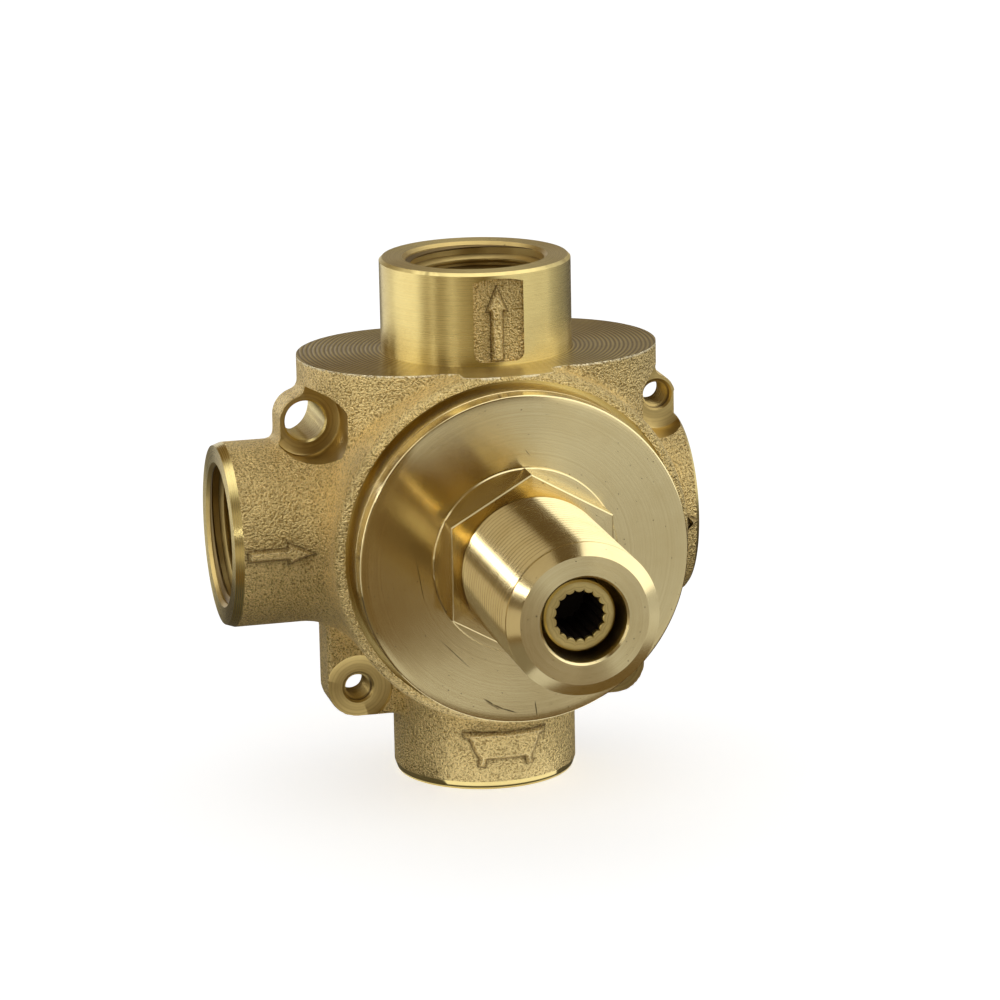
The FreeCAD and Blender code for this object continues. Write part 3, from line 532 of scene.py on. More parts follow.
def cutter(name, profile, axis, segments=192):
    """Turned solid that takes away what lies inside it; its own material marks the cut faces."""
    points, faces, _ = revolve(profile, axis, segments, closed=False)
    mesh = new_mesh(name, points, faces)
    merge_poles(mesh)
    mesh.materials.append(bpy.data.materials.new(f"cut {name}"))
    return new_object(f"cut_{name}", mesh)


def take_away(casting, tool):
    """Cuts the tool out of the casting and removes the tool."""
    change = casting.modifiers.new("cut", "BOOLEAN")
    change.operation = "DIFFERENCE"
    change.solver = "MANIFOLD"
    change.material_mode = "TRANSFER"
    change.object = tool
    shaped = bpy.data.meshes.new_from_object(casting.evaluated_get(bpy.context.evaluated_depsgraph_get()))
    if len(shaped.polygons) == len(casting.data.polygons):
        raise RuntimeError(f"{tool.name} cut nothing")
    casting.modifiers.clear()
    casting.data = shaped
    bpy.data.objects.remove(tool)


def casting_cuts(c):
    """Machining cuts: name, axis, profile of (radius, distance), in the order they are made."""
    bore = MOUNTS["top_port"]["dims"]["r_mm"]
    top = BODY_HIGH.z
    cuts = [("top_port", TOP_AXIS, [
        (0, top), (c.top_port_radius - c.turned_edge, top), (c.top_port_radius, top - c.turned_edge),
        (c.top_port_radius, c.shoulder_top), (PAST.pad_radius, c.shoulder_top),
        (PAST.pad_radius, top + PAST.end), (0, top + PAST.end)])]
    for name, (axis, reach) in PORTS.items():
        inner = reach - c.thread_depth
        cone = bore - c.waterway_radius
        seal = SEALS[name]
        end = math.hypot(seal.across, seal.up) - (seal.radius - c.seal_width) - c.way_end_room
        mouth = reach + PAST.mouth
        cuts.append((f"{name}_bore", axis, [
            (0, mouth), (bore + c.mouth_chamfer + PAST.mouth, mouth), (bore, reach - c.mouth_chamfer),
            (bore, inner), (c.waterway_radius, inner - cone), (c.waterway_radius, end), (0, end)]))
        if name != "top":
            taper = c.bare_end if name == "right" else c.taper_length
            slope = c.taper_depth / taper
            tip = c.port_radius - c.taper_depth
            run = 2 * taper
            side = c.port_radius + PAST.side
            cuts.append((f"{name}_end", axis, [
                (0, reach), (tip, reach), (tip + run * slope, reach - run), (side, reach - run),
                (side, reach + PAST.end), (0, reach + PAST.end)]))
    lip = BONNET_HIGH.x + c.flange_gap
    cuts.append(("chamber", FRONT_AXIS, [
        (0, c.chamber_floor), (c.chamber_radius, c.chamber_floor), (c.chamber_radius, c.flange_seat),
        (lip, c.flange_seat), (lip, PAST.collar), (0, PAST.collar)]))
    for name, seal in SEALS.items():
        hole = seal.radius - c.seal_width
        over_floor = c.chamber_floor + PAST.hole
        cuts.append((f"{name}_floor_hole", front_axis_at(seal.across, seal.up), [
            (0, PORT_DEPTH), (hole, PORT_DEPTH), (hole, seal.back), (seal.radius, seal.back),
            (seal.radius, over_floor), (0, over_floor)]))
    front = c.ear_front
    corner = c.ear_face_round
    eased = 0.3 * corner
    for name, across, up, hole in ear_places():
        axis = front_axis_at(across, up)
        upper = name.startswith("upper")
        radius = c.spot_face_radius if upper else c.lower_ear_radius + c.ear_face_margin
        cuts.append((f"{name}_face", axis, [
            (0, front), (radius - corner, front), (radius - eased, front + eased), (radius, front + corner),
            (radius, front + PAST.face), (0, front + PAST.face)]))
        wide = hole + c.hole_chamfer
        cuts.append((f"{name}_hole", axis, [
            (0, -PAST.hole), (hole, -PAST.hole), (hole, front - c.hole_chamfer), (wide, front),
            (wide, front + PAST.hole), (0, front + PAST.hole)]))
    return cuts


def arrow_flat_cutter(c):
    """Flat-faced tool with rounded corners, for the as-cast patch on the top port."""
    half, corner = c.flat_half_width, c.flat_corner
    steps = 8
    outline = []
    for step in range(2 * steps + 1):
        share = 1 - step / steps
        outline.append((c.flat_shift + half * share, c.flat_top - c.flat_arch * share ** 2))
    for side, start in ((-1, 180), (1, 270)):
        for step in range(steps + 1):
            t = math.radians(start + step * 90 / steps)
            outline.append((c.flat_shift + side * (half - corner) + corner * math.cos(t),
                            c.flat_base + corner + corner * math.sin(t)))
    front = -PORT_DEPTH - c.top_port_radius - PAST.hole
    back = -PORT_DEPTH - c.top_port_radius + c.flat_depth
    count = len(outline)
    points = [(x, y, z) for y in (front, back) for x, z in outline]
    faces = [tuple(range(count)), tuple(range(2 * count - 1, count - 1, -1))]
    faces += [(k, k + count, (k + 1) % count + count, (k + 1) % count) for k in range(count)]
    mesh = bpy.data.meshes.new("arrow_flat")
    mesh.from_pydata((np.array(points) * MM).tolist(), [], faces)
    mesh.materials.append(bpy.data.materials.new("cut arrow_flat"))
    with edited(mesh) as work:
        bmesh.ops.recalc_face_normals(work, faces=work.faces)
    return new_object("cut_arrow_flat", mesh)


def map_turning(mesh, axes, slot_names):
    """Turning map of the cut faces: angle about the cut's axis, and the tool's path in millimetres."""
    corner_point = read_values(mesh.loops, "vertex_index")
    points = mesh_points(mesh)
    slot = read_values(mesh.polygons, "material_index")
    face_of = np.repeat(np.arange(len(slot)), read_values(mesh.polygons, "loop_total"))
    chart = np.zeros((len(corner_point), 2))
    for index, name in enumerate(slot_names):
        axis = axes.get(name)
        corners = np.flatnonzero(slot[face_of] == index)
        if axis is None or not len(corners):
            continue
        origin, across, up, along = (np.array(part, float) for part in axis)
        offset = points[corner_point[corners]] - origin
        turn = np.arctan2(offset @ up, offset @ across) / (2 * math.pi)
        first = np.zeros(len(slot))
        first[face_of[corners[::-1]]] = turn[::-1]
        turn -= np.round(turn - first[face_of[corners]])
        chart[corners, 0] = turn
        chart[corners, 1] = np.hypot(offset @ across, offset @ up) + offset @ along
    layer = mesh.uv_layers.get("turning") or mesh.uv_layers.new(name="turning")
    layer.data.foreach_set("uv", chart.astype(np.float32).ravel())
    return slot


# Materials, by the names of their finishes
FINISHES = {}
# Sockets of a colour mix, by number because its other kinds share their names
MIX_FACTOR, MIX_FIRST, MIX_SECOND, MIX_RESULT = 0, 6, 7, 2


def set_inputs(tree, node, inputs):
    """Inputs of a node by name or number: a socket is joined, and a value is set as it is."""
    for name, source in inputs.items():
        if isinstance(source, bpy.types.NodeSocket):
            tree.links.new(source, node.inputs[name])
        else:
            node.inputs[name].default_value = source


def add_node(tree, kind, inputs=None, **settings):
    node = tree.nodes.new(kind)
    for key, value in settings.items():
        setattr(node, key, value)
    set_inputs(tree, node, inputs or {})
    return node


def only_shader(tree, kind, output="ShaderNodeOutputMaterial"):
    """Empties a tree and gives it one shader."""
    tree.nodes.clear()
    shader = tree.nodes.new(kind)
    add_node(tree, output, {"Surface": shader.outputs[0]})
    return shader


def new_material(name, kind="ShaderNodeBsdfPrincipled"):
    """A material with one shader: the material, its tree and that shader."""
    material = FINISHES[name] = bpy.data.materials.new(name)
    material.use_nodes = True
    return material, material.node_tree, only_shader(material.node_tree, kind)


def maths(tree, operation, *values):
    return add_node(tree, "ShaderNodeMath", dict(enumerate(values)), operation=operation).outputs[0]


def mix_colours(tree, factor, first, second):
    """Mix of two colours, each a colour value or a socket."""
    first, second = (value if isinstance(value, bpy.types.NodeSocket) else (*value, 1.0)
                     for value in (first, second))
    inputs = {MIX_FACTOR: factor, MIX_FIRST: first, MIX_SECOND: second}
    return add_node(tree, "ShaderNodeMix", inputs, data_type="RGBA").outputs[MIX_RESULT]


def ramp(tree, source, low, high, to_low=0.0, to_high=1.0):
    """A value mapped from one range to another, held at its ends."""
    return add_node(tree, "ShaderNodeMapRange", {
        "Value": source, "From Min": low, "From Max": high, "To Min": to_low, "To Max": to_high,
    }).outputs["Result"]


def noise(tree, coordinates, size_mm, detail, roughness=0.5):
    """Noise on Object coordinates with features of about the given size."""
    return add_node(tree, "ShaderNodeTexNoise", {
        "Vector": coordinates, "Scale": 1.0 / (size_mm * MM), "Detail": detail, "Roughness": roughness,
    }).outputs["Fac"]


def path_noise(tree, path, per_mm, detail):
    """Noise along the tool's path."""
    inputs = {"W": path, "Scale": per_mm, "Detail": detail}
    return add_node(tree, "ShaderNodeTexNoise", inputs, noise_dimensions="1D").outputs["Fac"]


def object_place(tree):
    return add_node(tree, "ShaderNodeTexCoord").outputs["Object"]


# Reads the point attribute of painted shade (above nought) and painted highlight (below nought).
def painted_light_of(tree):
    return add_node(tree, "ShaderNodeAttribute", attribute_name="soil").outputs["Fac"]


def relief(tree, height, depth_mm, strength=1.0):
    inputs = {"Height": height, "Strength": strength, "Distance": depth_mm * MM}
    return add_node(tree, "ShaderNodeBump", inputs).outputs["Normal"]


def shade(value, share):
    return [share * part for part in value]


def cast_brass_material(colours):
    """Blasted casting: grain in relief, a little browner in its hollows, uneven over the body."""
    _, tree, shader = new_material("blasted_brass")
    place = object_place(tree)
    grain = noise(tree, place, size_mm=0.34, detail=2.0, roughness=0.55)
    fine = noise(tree, place, size_mm=0.16, detail=1.0)
    patches = noise(tree, place, size_mm=9.0, detail=3.0, roughness=0.6)
    tone = ramp(tree, patches, 0.35, 0.68)
    skin = mix_colours(tree, tone, shade(colours.cast, 0.86), shade(colours.cast, 1.1))
    hollow = ramp(tree, grain, 0.34, 0.52, 0.75, 0.0)
    grainy = mix_colours(tree, hollow, skin, colours.cast_dark)
    # Painted light: a positive point attribute darkens the colour as painted shade, a negative one lays the
    # painted highlight colour.
    soil = painted_light_of(tree)
    with_painted_shade = mix_colours(tree, ramp(tree, soil, 0.1, 0.9, 0.0, 0.9), grainy, colours.pit_and_painted_shade)
    painted_highlight = mix_colours(tree, ramp(tree, soil, -0.9, -0.2, 1.0, 0.0), with_painted_shade, colours.painted_highlight)
    fine_share = 0.3
    height = maths(tree, "MULTIPLY_ADD", fine, fine_share, grain)
    set_inputs(tree, shader, {
        "Base Color": painted_highlight, "Metallic": 1.0, "Roughness": ramp(tree, fine, 0.3, 0.7, 0.26, 0.38),
        "Normal": relief(tree, height, depth_mm=0.75)})


def specks(tree, coordinates, cell_mm, share, radius, stretch=1.0, tilt=0.0):
    """Scattered marks: in a share of the cells, one of the given radius in cells, drawn out across."""
    turned = add_node(tree, "ShaderNodeMapping", {"Vector": coordinates, "Rotation": (0.0, tilt, 0.0)})
    scale = [1.0 / (cell_mm * MM * drawn) for drawn in (stretch, 1.0, 1.0)]
    vectors = {0: turned.outputs["Vector"], 1: scale}
    sized = add_node(tree, "ShaderNodeVectorMath", vectors, operation="MULTIPLY")
    cells = add_node(tree, "ShaderNodeTexVoronoi", {"Vector": sized.outputs["Vector"], "Scale": 1.0})
    chance = add_node(tree, "ShaderNodeSeparateColor", {"Color": cells.outputs["Color"]}).outputs["Red"]
    near = ramp(tree, cells.outputs["Distance"], 0.5 * radius, radius, 1.0, 0.0)
    chosen = ramp(tree, chance, 1.0 - share - 0.01, 1.0 - share)
    return maths(tree, "MULTIPLY", near, chosen)


# Scratches on the bonnet's flange: across, up, half length and half width in millimetres, tilt in degrees
SCRATCHES = (
    (-5.96, -21.25, 1.06, 0.14, 35.4),
    (-4.53, -22.15, 1.09, 0.13, 29.3),
    (-2.94, -22.85, 1.31, 0.12, 21.1),
    (-5.37, -21.88, 1.44, 0.07, 32.8),
    (1.19, -22.85, 1.27, 0.10, 83.1),
    (-15.96, -1.65, 3.60, 0.06, 80.3),
    (-10.96, -13.39, 3.72, 0.06, 46.7),
)
# Turns of the three lots of fine scratches, in radians
FINE_SCRATCHES = (0.5, -0.9, 2.2)


def scratch(tree, coordinates, across, up, half_length, half_width, tilt):
    """One thin scratch on a face that looks forward."""
    laid = add_node(tree, "ShaderNodeMapping", {
        "Vector": coordinates, "Location": (across * MM, 0.0, up * MM),
        "Rotation": (0.0, math.radians(tilt), 0.0), "Scale": (half_length * MM, 1.0, half_width * MM),
    }, vector_type="TEXTURE")
    reach = add_node(tree, "ShaderNodeVectorMath", {0: laid.outputs["Vector"]}, operation="LENGTH")
    return ramp(tree, reach.outputs["Value"], 0.6, 1.0, 1.0, 0.0)


def worn_marks(tree, place, handled):
    """Pits of the metal, and where it has been handled also specks and scratches."""
    pits = specks(tree, place, cell_mm=1.7, share=0.15, radius=0.09)
    marks = []
    if handled:
        marks.append(specks(tree, place, cell_mm=0.9, share=0.35, radius=0.12))
        marks += [specks(tree, place, cell_mm=1.1, share=0.04, radius=0.08, stretch=12.0, tilt=tilt)
                  for tilt in FINE_SCRATCHES]
        marks += [scratch(tree, place, *settings) for settings in SCRATCHES]
    for mark in marks:
        pits = maths(tree, "MAXIMUM", pits, mark)
    return pits


def turned_brass_material(name, colours, fresh, worn, roughness, groove_mm, anisotropic, ring_depth=0.25,
                          feed_mm=0.0, handled=False):
    """Cut brass: rings from the tool's feed, stains, painted shade from the point attribute, and worn marks.
    """
    _, tree, shader = new_material(name)
    fresh, worn = getattr(colours, fresh), getattr(colours, worn)
    place = object_place(tree)
    chart = add_node(tree, "ShaderNodeUVMap", uv_map="turning").outputs["UV"]
    path = add_node(tree, "ShaderNodeSeparateXYZ", {"Vector": chart}).outputs["Y"]
    rings = height = path_noise(tree, path, per_mm=11.0, detail=3.0)
    bands = path_noise(tree, path, per_mm=3.0, detail=2.0)
    bright = ramp(tree, bands, 0.25, 0.6, 1.0 - ring_depth, 1.0)
    if feed_mm:
        wave = maths(tree, "SINE", maths(tree, "MULTIPLY", path, 2 * math.pi / feed_mm))
        height = maths(tree, "ADD", wave, rings)
        bright = ramp(tree, wave, -1.0, 1.0, 1.0 - ring_depth, 1.0)
    stains = noise(tree, place, size_mm=7.0, detail=4.0, roughness=0.6)
    pits = worn_marks(tree, place, handled)
    streaked = mix_colours(tree, bright, worn, fresh)
    stained = mix_colours(tree, ramp(tree, stains, 0.42, 0.75, 0.0, 0.5), streaked, worn)
    # Painted shade: the point attribute darkens the colour towards the pit colour in thread roots.
    with_painted_shade = mix_colours(tree, ramp(tree, painted_light_of(tree), 0.4, 0.85, 0.0, 0.95), stained, colours.pit_and_painted_shade)
    tangent = add_node(tree, "ShaderNodeTangent", direction_type="UV_MAP", uv_map="turning")
    quarter_turn = 0.25
    set_inputs(tree, shader, {
        "Base Color": mix_colours(tree, pits, with_painted_shade, colours.pit_and_painted_shade), "Metallic": 1.0,
        "Roughness": ramp(tree, rings, 0.3, 0.7, roughness - 0.02, roughness + 0.03),
        "Anisotropic": anisotropic, "Anisotropic Rotation": quarter_turn,
        "Tangent": tangent.outputs["Tangent"],
        "Normal": relief(tree, maths(tree, "SUBTRACT", height, pits), groove_mm)})


def plain_material(name, value, roughness, metallic, grain_mm, depth_mm):
    """Finish of the hidden parts: a colour that varies a little over a fine grain."""
    material, tree, shader = new_material(name)
    grain = noise(tree, object_place(tree), grain_mm, detail=3.0)
    tone = mix_colours(tree, ramp(tree, grain, 0.3, 0.7), shade(value, 0.85), value)
    set_inputs(tree, shader, {
        "Base Color": tone, "Metallic": metallic,
        "Roughness": ramp(tree, grain, 0.3, 0.7, roughness - 0.06, roughness + 0.06),
        "Normal": relief(tree, grain, depth_mm, strength=0.3)})
    return material


# Cut brass by finish: colours of fresh and worn metal, and how the tool left it
TURNED_FINISHES = {
    "cut_brass": dict(fresh="turned", worn="turned_dark", roughness=0.28, groove_mm=0.006, anisotropic=0.8),
    "pad_brass": dict(fresh="turned", worn="cast_dark", roughness=0.3, groove_mm=0.03, anisotropic=0.6,
                      ring_depth=1.0, feed_mm=0.66),
    "faced_brass": dict(fresh="turned_dark", worn="bore", roughness=0.3, groove_mm=0.0072, anisotropic=0.0,
                        ring_depth=0.5),
    "bonnet_brass": dict(fresh="bonnet", worn="bonnet_dark", roughness=0.14, groove_mm=0.00036,
                         anisotropic=1.0, ring_depth=0.4, handled=True),
    "nose_brass": dict(fresh="bonnet", worn="bonnet_dark", roughness=0.15, groove_mm=0.0006, anisotropic=0.0,
                       ring_depth=0.1),
    "stem_brass": dict(fresh="turned", worn="bore", roughness=0.36, groove_mm=0.0048, anisotropic=0.3,
                       ring_depth=0.4),
    "bore_brass": dict(fresh="turned_dark", worn="bore", roughness=0.4, groove_mm=0.006, anisotropic=0.4),
}
# Hidden parts by slot: name of the colour, and how the surface is
HIDDEN_FINISHES = {
    "seal_rubber": ("rubber", dict(roughness=0.6, metallic=0.0, grain_mm=0.3, depth_mm=0.01)),
    "disc_ceramic": ("ceramic", dict(roughness=0.2, metallic=0.0, grain_mm=0.5, depth_mm=0.002)),
    "bearing_plastic": ("plastic", dict(roughness=0.45, metallic=0.0, grain_mm=0.4, depth_mm=0.01)),
    "pin_steel": ("steel", dict(roughness=0.3, metallic=1.0, grain_mm=0.3, depth_mm=0.004)),
}


class VALVE_OT_materials(bpy.types.Operator):
    """Make the finishes and give the hidden parts theirs"""
    bl_idname = "valve.materials"
    bl_label = "Materials"

    def execute(self, context):
        colours = context.scene.valve_colours
        cast_brass_material(colours)
        for name, look in TURNED_FINISHES.items():
            turned_brass_material(name, colours, **look)
        # Painted shade for the stem socket's walls and floor past its mouth.
        plain_material("socket_dark", colours.socket, roughness=0.6, metallic=0.3, grain_mm=0.4,
                       depth_mm=0.02)
        finishes = {slot: plain_material(f"{slot}_finish", getattr(colours, tone), **look)
                    for slot, (tone, look) in HIDDEN_FINISHES.items()}
        for part in frame["record"]["subparts"]:
            finish = finishes.get(part["material_slot"])
            if finish is None:
                continue
            for slot in frame["nodes"][part["node"]].material_slots:
                slot.material = finish
        return {"FINISHED"}


def cut_kind(name):
    """Finish of the faces that a cut leaves."""
    if name.endswith("upper_left_ear_hole"):
        return CUT
    if name.endswith(("bore", "chamber", "hole")):
        return BORE
    return FACED if name.endswith("face") else CUT


class VALVE_OT_casting(bpy.types.Operator):
    """Cast the body, then machine its ports, pad, chamber and ears"""
    bl_idname = "valve.casting"
    bl_label = "Casting"

    def execute(self, context):
        c = sizes("valve_casting")
        low, high = list(BODY_LOW), list(BODY_HIGH)
        mesh = skin_mesh(lambda points: casting_distance(points, c), low, high, c.voxel, "casting")
        mesh.materials.append(FINISHES["blasted_brass"])
        casting = new_object("casting", mesh)
        axes = {}
        for name, axis, profile in casting_cuts(c):
            axes[f"cut {name}"] = axis
            take_away(casting, cutter(name, profile, axis))
        take_away(casting, arrow_flat_cutter(c))
        mesh = casting.data
        names = [material.name for material in mesh.materials]
        slot = map_turning(mesh, axes, names)
        kinds = np.array([cut_kind(name) if name in axes else BLASTED for name in names], np.int32)
        mesh.materials.clear()
        kind = kinds[slot]
        middle = read_values(mesh.polygons, "center", 3, np.float32) / MM
        kind[(kind == CUT) & (np.abs(middle[:, 2] - c.shoulder_top) < LEVEL_WITHIN)] = PAD
        kind[(kind == BORE) & (-middle[:, 1] > c.flange_seat - LEVEL_WITHIN)] = CUT
        mesh.polygons.foreach_set("material_index", kind)
        materials = [FINISHES[name] for name in CASTING_FINISHES]
        finish_piece(casting, "valve", materials, sharp=35.0)
        self.part_finishes(mesh)
        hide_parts("valve_body")
        return {"FINISHED"}

    def part_finishes(self, mesh):
        """Sharp edges where two finishes meet, and a painted highlight on the cast edge round the pad."""
        with edited(mesh) as work:
            painted_highlight = np.zeros(len(work.verts))
            for edge in work.edges:
                meeting = {face.material_index for face in edge.link_faces}
                if len(meeting) > 1:
                    edge.smooth = False
                # Painted highlight: the points round the pad get minus one.
                if meeting == {BLASTED, PAD}:
                    for point in edge.verts:
                        painted_highlight[point.index] = -1.0
        set_painted_light(mesh, painted_highlight)


# Rings on the flange between its edge and the hexagon, as shares of the way, and steps of its rounded edge
FLANGE_RINGS = (0.9, 0.75, 0.6, 0.4, 0.2)
EDGE_STEPS = 4


class VALVE_OT_bonnet(bpy.types.Operator):
    """Turn the bonnet: spigot, flange, hexagon and nose"""
    bl_idname = "valve.bonnet"
    bl_label = "Bonnet"

    def execute(self, context):
        b = sizes("valve_bonnet")
        c = sizes("valve_casting")
        turn = np.arange(b.segments) / b.segments * 2 * math.pi
        half = b.hex_across_flats / 2
        sixth = math.pi / 3
        flat = half / np.cos((turn + sixth / 2) % sixth - sixth / 2)
        corner = half / math.cos(sixth / 2)
        flange = BONNET_HIGH.x
        nose = MOUNTS["nose_thread"]["dims"]["r_mm"]
        front = -BONNET_LOW.y
        back = -BONNET_HIGH.y
        hex_front = b.flange_front + b.hex_height
        edge = b.flange_round
        groove = b.flange_front - b.rim_groove
        rows = [(b.cavity_radius, back), (b.spigot_radius, back), (b.spigot_radius, c.flange_seat),
                (flange, c.flange_seat), (flange, groove - b.rim_groove_half),
                (flange - b.rim_groove_half, groove), (flange, groove + b.rim_groove_half)]
        for step in range(EDGE_STEPS + 1):
            t = step / EDGE_STEPS * math.pi / 2
            rows.append((flange - edge + edge * math.cos(t), b.flange_front - edge + edge * math.sin(t)))
        for share in FLANGE_RINGS:
            rows.append((corner + (flange - edge - corner) * share, b.flange_front))
        ledge = b.flange_front + b.hex_ledge
        bevel = b.hex_bevel
        rows += [(corner, b.flange_front), (corner, ledge - bevel), (corner - bevel, ledge), (flat, ledge),
                 (flat, hex_front - bevel), (flat - bevel, hex_front), (nose, hex_front),
                 (nose - b.thread_height, hex_front)]
        first = len(rows)
        chamfer = front - b.nose_chamfer
        rows += [(nose - b.thread_height, chamfer - b.thread_land), (nose, chamfer - b.thread_land),
                 (nose, chamfer), (b.nose_face_radius, front)]
        last = len(rows) - 1
        rows += [(b.stem_bore + b.bore_chamfer, front), (b.stem_bore, front - b.bore_chamfer),
                 (b.stem_bore, b.recess_front), (b.recess_radius, b.recess_front),
                 (b.recess_radius, b.cavity_front), (b.cavity_radius, b.cavity_front)]
        mesh = new_mesh("bonnet_turned", *revolve(rows, FRONT_AXIS, b.segments, closed=True))
        for face in mesh.polygons[(first - 1) * b.segments:last * b.segments]:
            face.material_index = 1
        # Painted shade on the nose's root between the thread's turns, and where it meets the hexagon's front.
        soil = np.zeros(len(mesh.vertices))
        soil[(first - 1) * b.segments:(first + 1) * b.segments] = 1.0
        set_painted_light(mesh, soil)
        piece = new_object("bonnet_turned", mesh)
        materials = [FINISHES["bonnet_brass"], FINISHES["nose_brass"]]
        finish_piece(piece, "valve", materials, sharp=28.0)
        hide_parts("bonnet")
        return {"FINISHED"}


class VALVE_OT_stem(bpy.types.Operator):
    """Turn the stem and cut its spline socket"""
    bl_idname = "valve.stem"
    bl_label = "Stem"

    def execute(self, context):
        s = sizes("valve_stem")
        per_tooth = 10
        segments = s.teeth * per_tooth
        phase = np.arange(segments) % per_tooth / per_tooth
        socket = s.root_radius - (s.root_radius - s.crest_radius) * np.sin(phase * math.pi) ** 0.5
        turn = np.arange(segments) / segments * 2 * math.pi
        square = s.square_half / np.maximum(np.abs(np.cos(turn)), np.abs(np.sin(turn)))
        front, back = -STEM_LOW.y, -STEM_HIGH.y
        rows = [(0, back), (square, back), (square, s.shoulder_back), (s.shoulder_radius, s.shoulder_back),
                (s.shoulder_radius, s.shoulder_front), (s.journal_radius, s.shoulder_front),
                (s.journal_radius, s.journal_front), (s.neck_radius, s.journal_front),
                (s.neck_radius, front - s.edge), (s.neck_radius - s.edge, front),
                (socket + s.mouth_chamfer, front), (socket, front - s.mouth_chamfer)]
        first = len(rows)
        end = front - s.socket_depth
        rows += [(socket, front - s.unshaded_mouth_depth), (socket, end), (0, end)]
        mesh = new_mesh("stem_turned", *revolve(rows, FRONT_AXIS, segments, closed=False))
        # The socket's walls and floor past its mouth take the near-black painted shade.
        for face in mesh.polygons[first * segments:]:
            face.material_index = 1
        merge_poles(mesh)
        piece = new_object("stem_turned", mesh)
        materials = [FINISHES["stem_brass"], FINISHES["socket_dark"]]
        finish_piece(piece, "stem_assembly", materials, sharp=25.0)
        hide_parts("stem")
        return {"FINISHED"}


# Corners of a thread's ridge, in the order of the curve's points
THREAD_CORNERS = ("Root Low", "Root High", "Crest High", "Crest Low")
# Slant of a thread's flanks, half crest as a share of the pitch, root under the ground as a share of the
# height, and how fast the painted shade grows down the flanks
FLANK, CREST_SHARE, SUNK_SHARE, SHADE_GROWTH = math.radians(30), 1 / 16, 0.3, 2.5
# Turns over which a thread runs out, and the share of its height left at the very end
RUN_OUT_TURNS, RUN_OUT_HEIGHT = 0.6, 0.05


def thread_tree():
    """Node tree of a screw thread: a ridge wound round the Z axis, running out at both ends."""
    tree = bpy.data.node_groups.new("thread_ridge", "GeometryNodeTree")
    face = tree.interface
    face.new_socket("Geometry", in_out="OUTPUT", socket_type="NodeSocketGeometry")
    for name, kind in (("Radius", "Float"), ("Turns", "Float"), ("Length", "Float"), ("Facets", "Int"),
                       ("Material", "Material"), *((corner, "Vector") for corner in THREAD_CORNERS)):
        face.new_socket(name, in_out="INPUT", socket_type=f"NodeSocket{kind}")
    given = tree.nodes.new("NodeGroupInput").outputs
    helix = add_node(tree, "GeometryNodeCurveSpiral", {
        "Resolution": given["Facets"], "Rotations": given["Turns"], "Start Radius": given["Radius"],
        "End Radius": given["Radius"], "Height": given["Length"]})
    upright = add_node(tree, "GeometryNodeSetCurveNormal", {"Curve": helix.outputs["Curve"]}, mode="Z_UP")
    place = add_node(tree, "GeometryNodeSplineParameter").outputs["Factor"]
    turns_in = maths(tree, "MULTIPLY", maths(tree, "PINGPONG", place, 0.5), given["Turns"])
    run_out = ramp(tree, turns_in, 0.0, RUN_OUT_TURNS, RUN_OUT_HEIGHT)
    ridge = add_node(tree, "GeometryNodeCurvePrimitiveQuadrilateral", mode="POINTS")
    points = {f"Point {number}": given[corner] for number, corner in enumerate(THREAD_CORNERS, 1)}
    set_inputs(tree, ridge, points)
    sweep = add_node(tree, "GeometryNodeCurveToMesh", {
        "Curve": upright.outputs["Curve"], "Scale": run_out, "Profile Curve": ridge.outputs["Curve"],
        "Fill Caps": True})
    real = add_node(tree, "GeometryNodeRealizeInstances", {"Geometry": sweep.outputs["Mesh"]})
    paint = add_node(tree, "GeometryNodeSetMaterial", {
        "Geometry": real.outputs["Geometry"], "Material": given["Material"]})
    add_node(tree, "NodeGroupOutput", {"Geometry": paint.outputs["Geometry"]})
    return tree


def thread_mesh(tree, axis, start, radius, pitch, run, height, material, facets=96, outward=False):
    """One thread as a plain mesh: its ridge stands on the given radius, toward the axis or away from it."""
    holder = new_object("thread_holder", bpy.data.meshes.new("thread_holder"))
    change = holder.modifiers.new("thread", "NODES")
    change.node_group = tree
    side = -1 if outward else 1
    crest, sunk = pitch * CREST_SHARE, height * SUNK_SHARE
    root = crest + math.tan(FLANK) * (height + sunk)
    corners = ((-side * sunk, -root), (-side * sunk, root), (side * height, crest), (side * height, -crest))
    values = {"Radius": radius * MM, "Turns": run / pitch, "Length": run * MM, "Facets": facets,
              "Material": material}
    for name, (inward, along) in zip(THREAD_CORNERS, corners):
        values[name] = (inward * MM, along * MM, 0.0)
    for item in tree.interface.items_tree:
        if item.in_out == "INPUT":
            change[item.identifier] = values[item.name]
    mesh = bpy.data.meshes.new_from_object(holder.evaluated_get(bpy.context.evaluated_depsgraph_get()))
    bpy.data.objects.remove(holder)
    origin, across, up, along = (Vector(part) for part in axis)
    placing = Matrix((across, up, along)).transposed().to_4x4()
    placing.translation = (origin + along * start) * MM
    mesh.transform(placing)
    map_turning(mesh, {material.name: axis}, [material.name])
    # Painted shade: the point attribute grows from the crest down to the root of the ridge.
    offset = mesh_points(mesh) - np.array(origin)
    rise = side * (radius - np.hypot(offset @ np.array(across), offset @ np.array(up))) / height
    set_painted_light(mesh, np.clip(SHADE_GROWTH * (1.0 - rise), 0.0, 1.0))
    return mesh


def join_meshes(name, meshes):
    """One object out of several plain meshes."""
    joined = bpy.data.meshes.new(name)
    with edited(joined, *meshes) as work:
        bmesh.ops.recalc_face_normals(work, faces=work.faces)
    return new_object(name, joined)


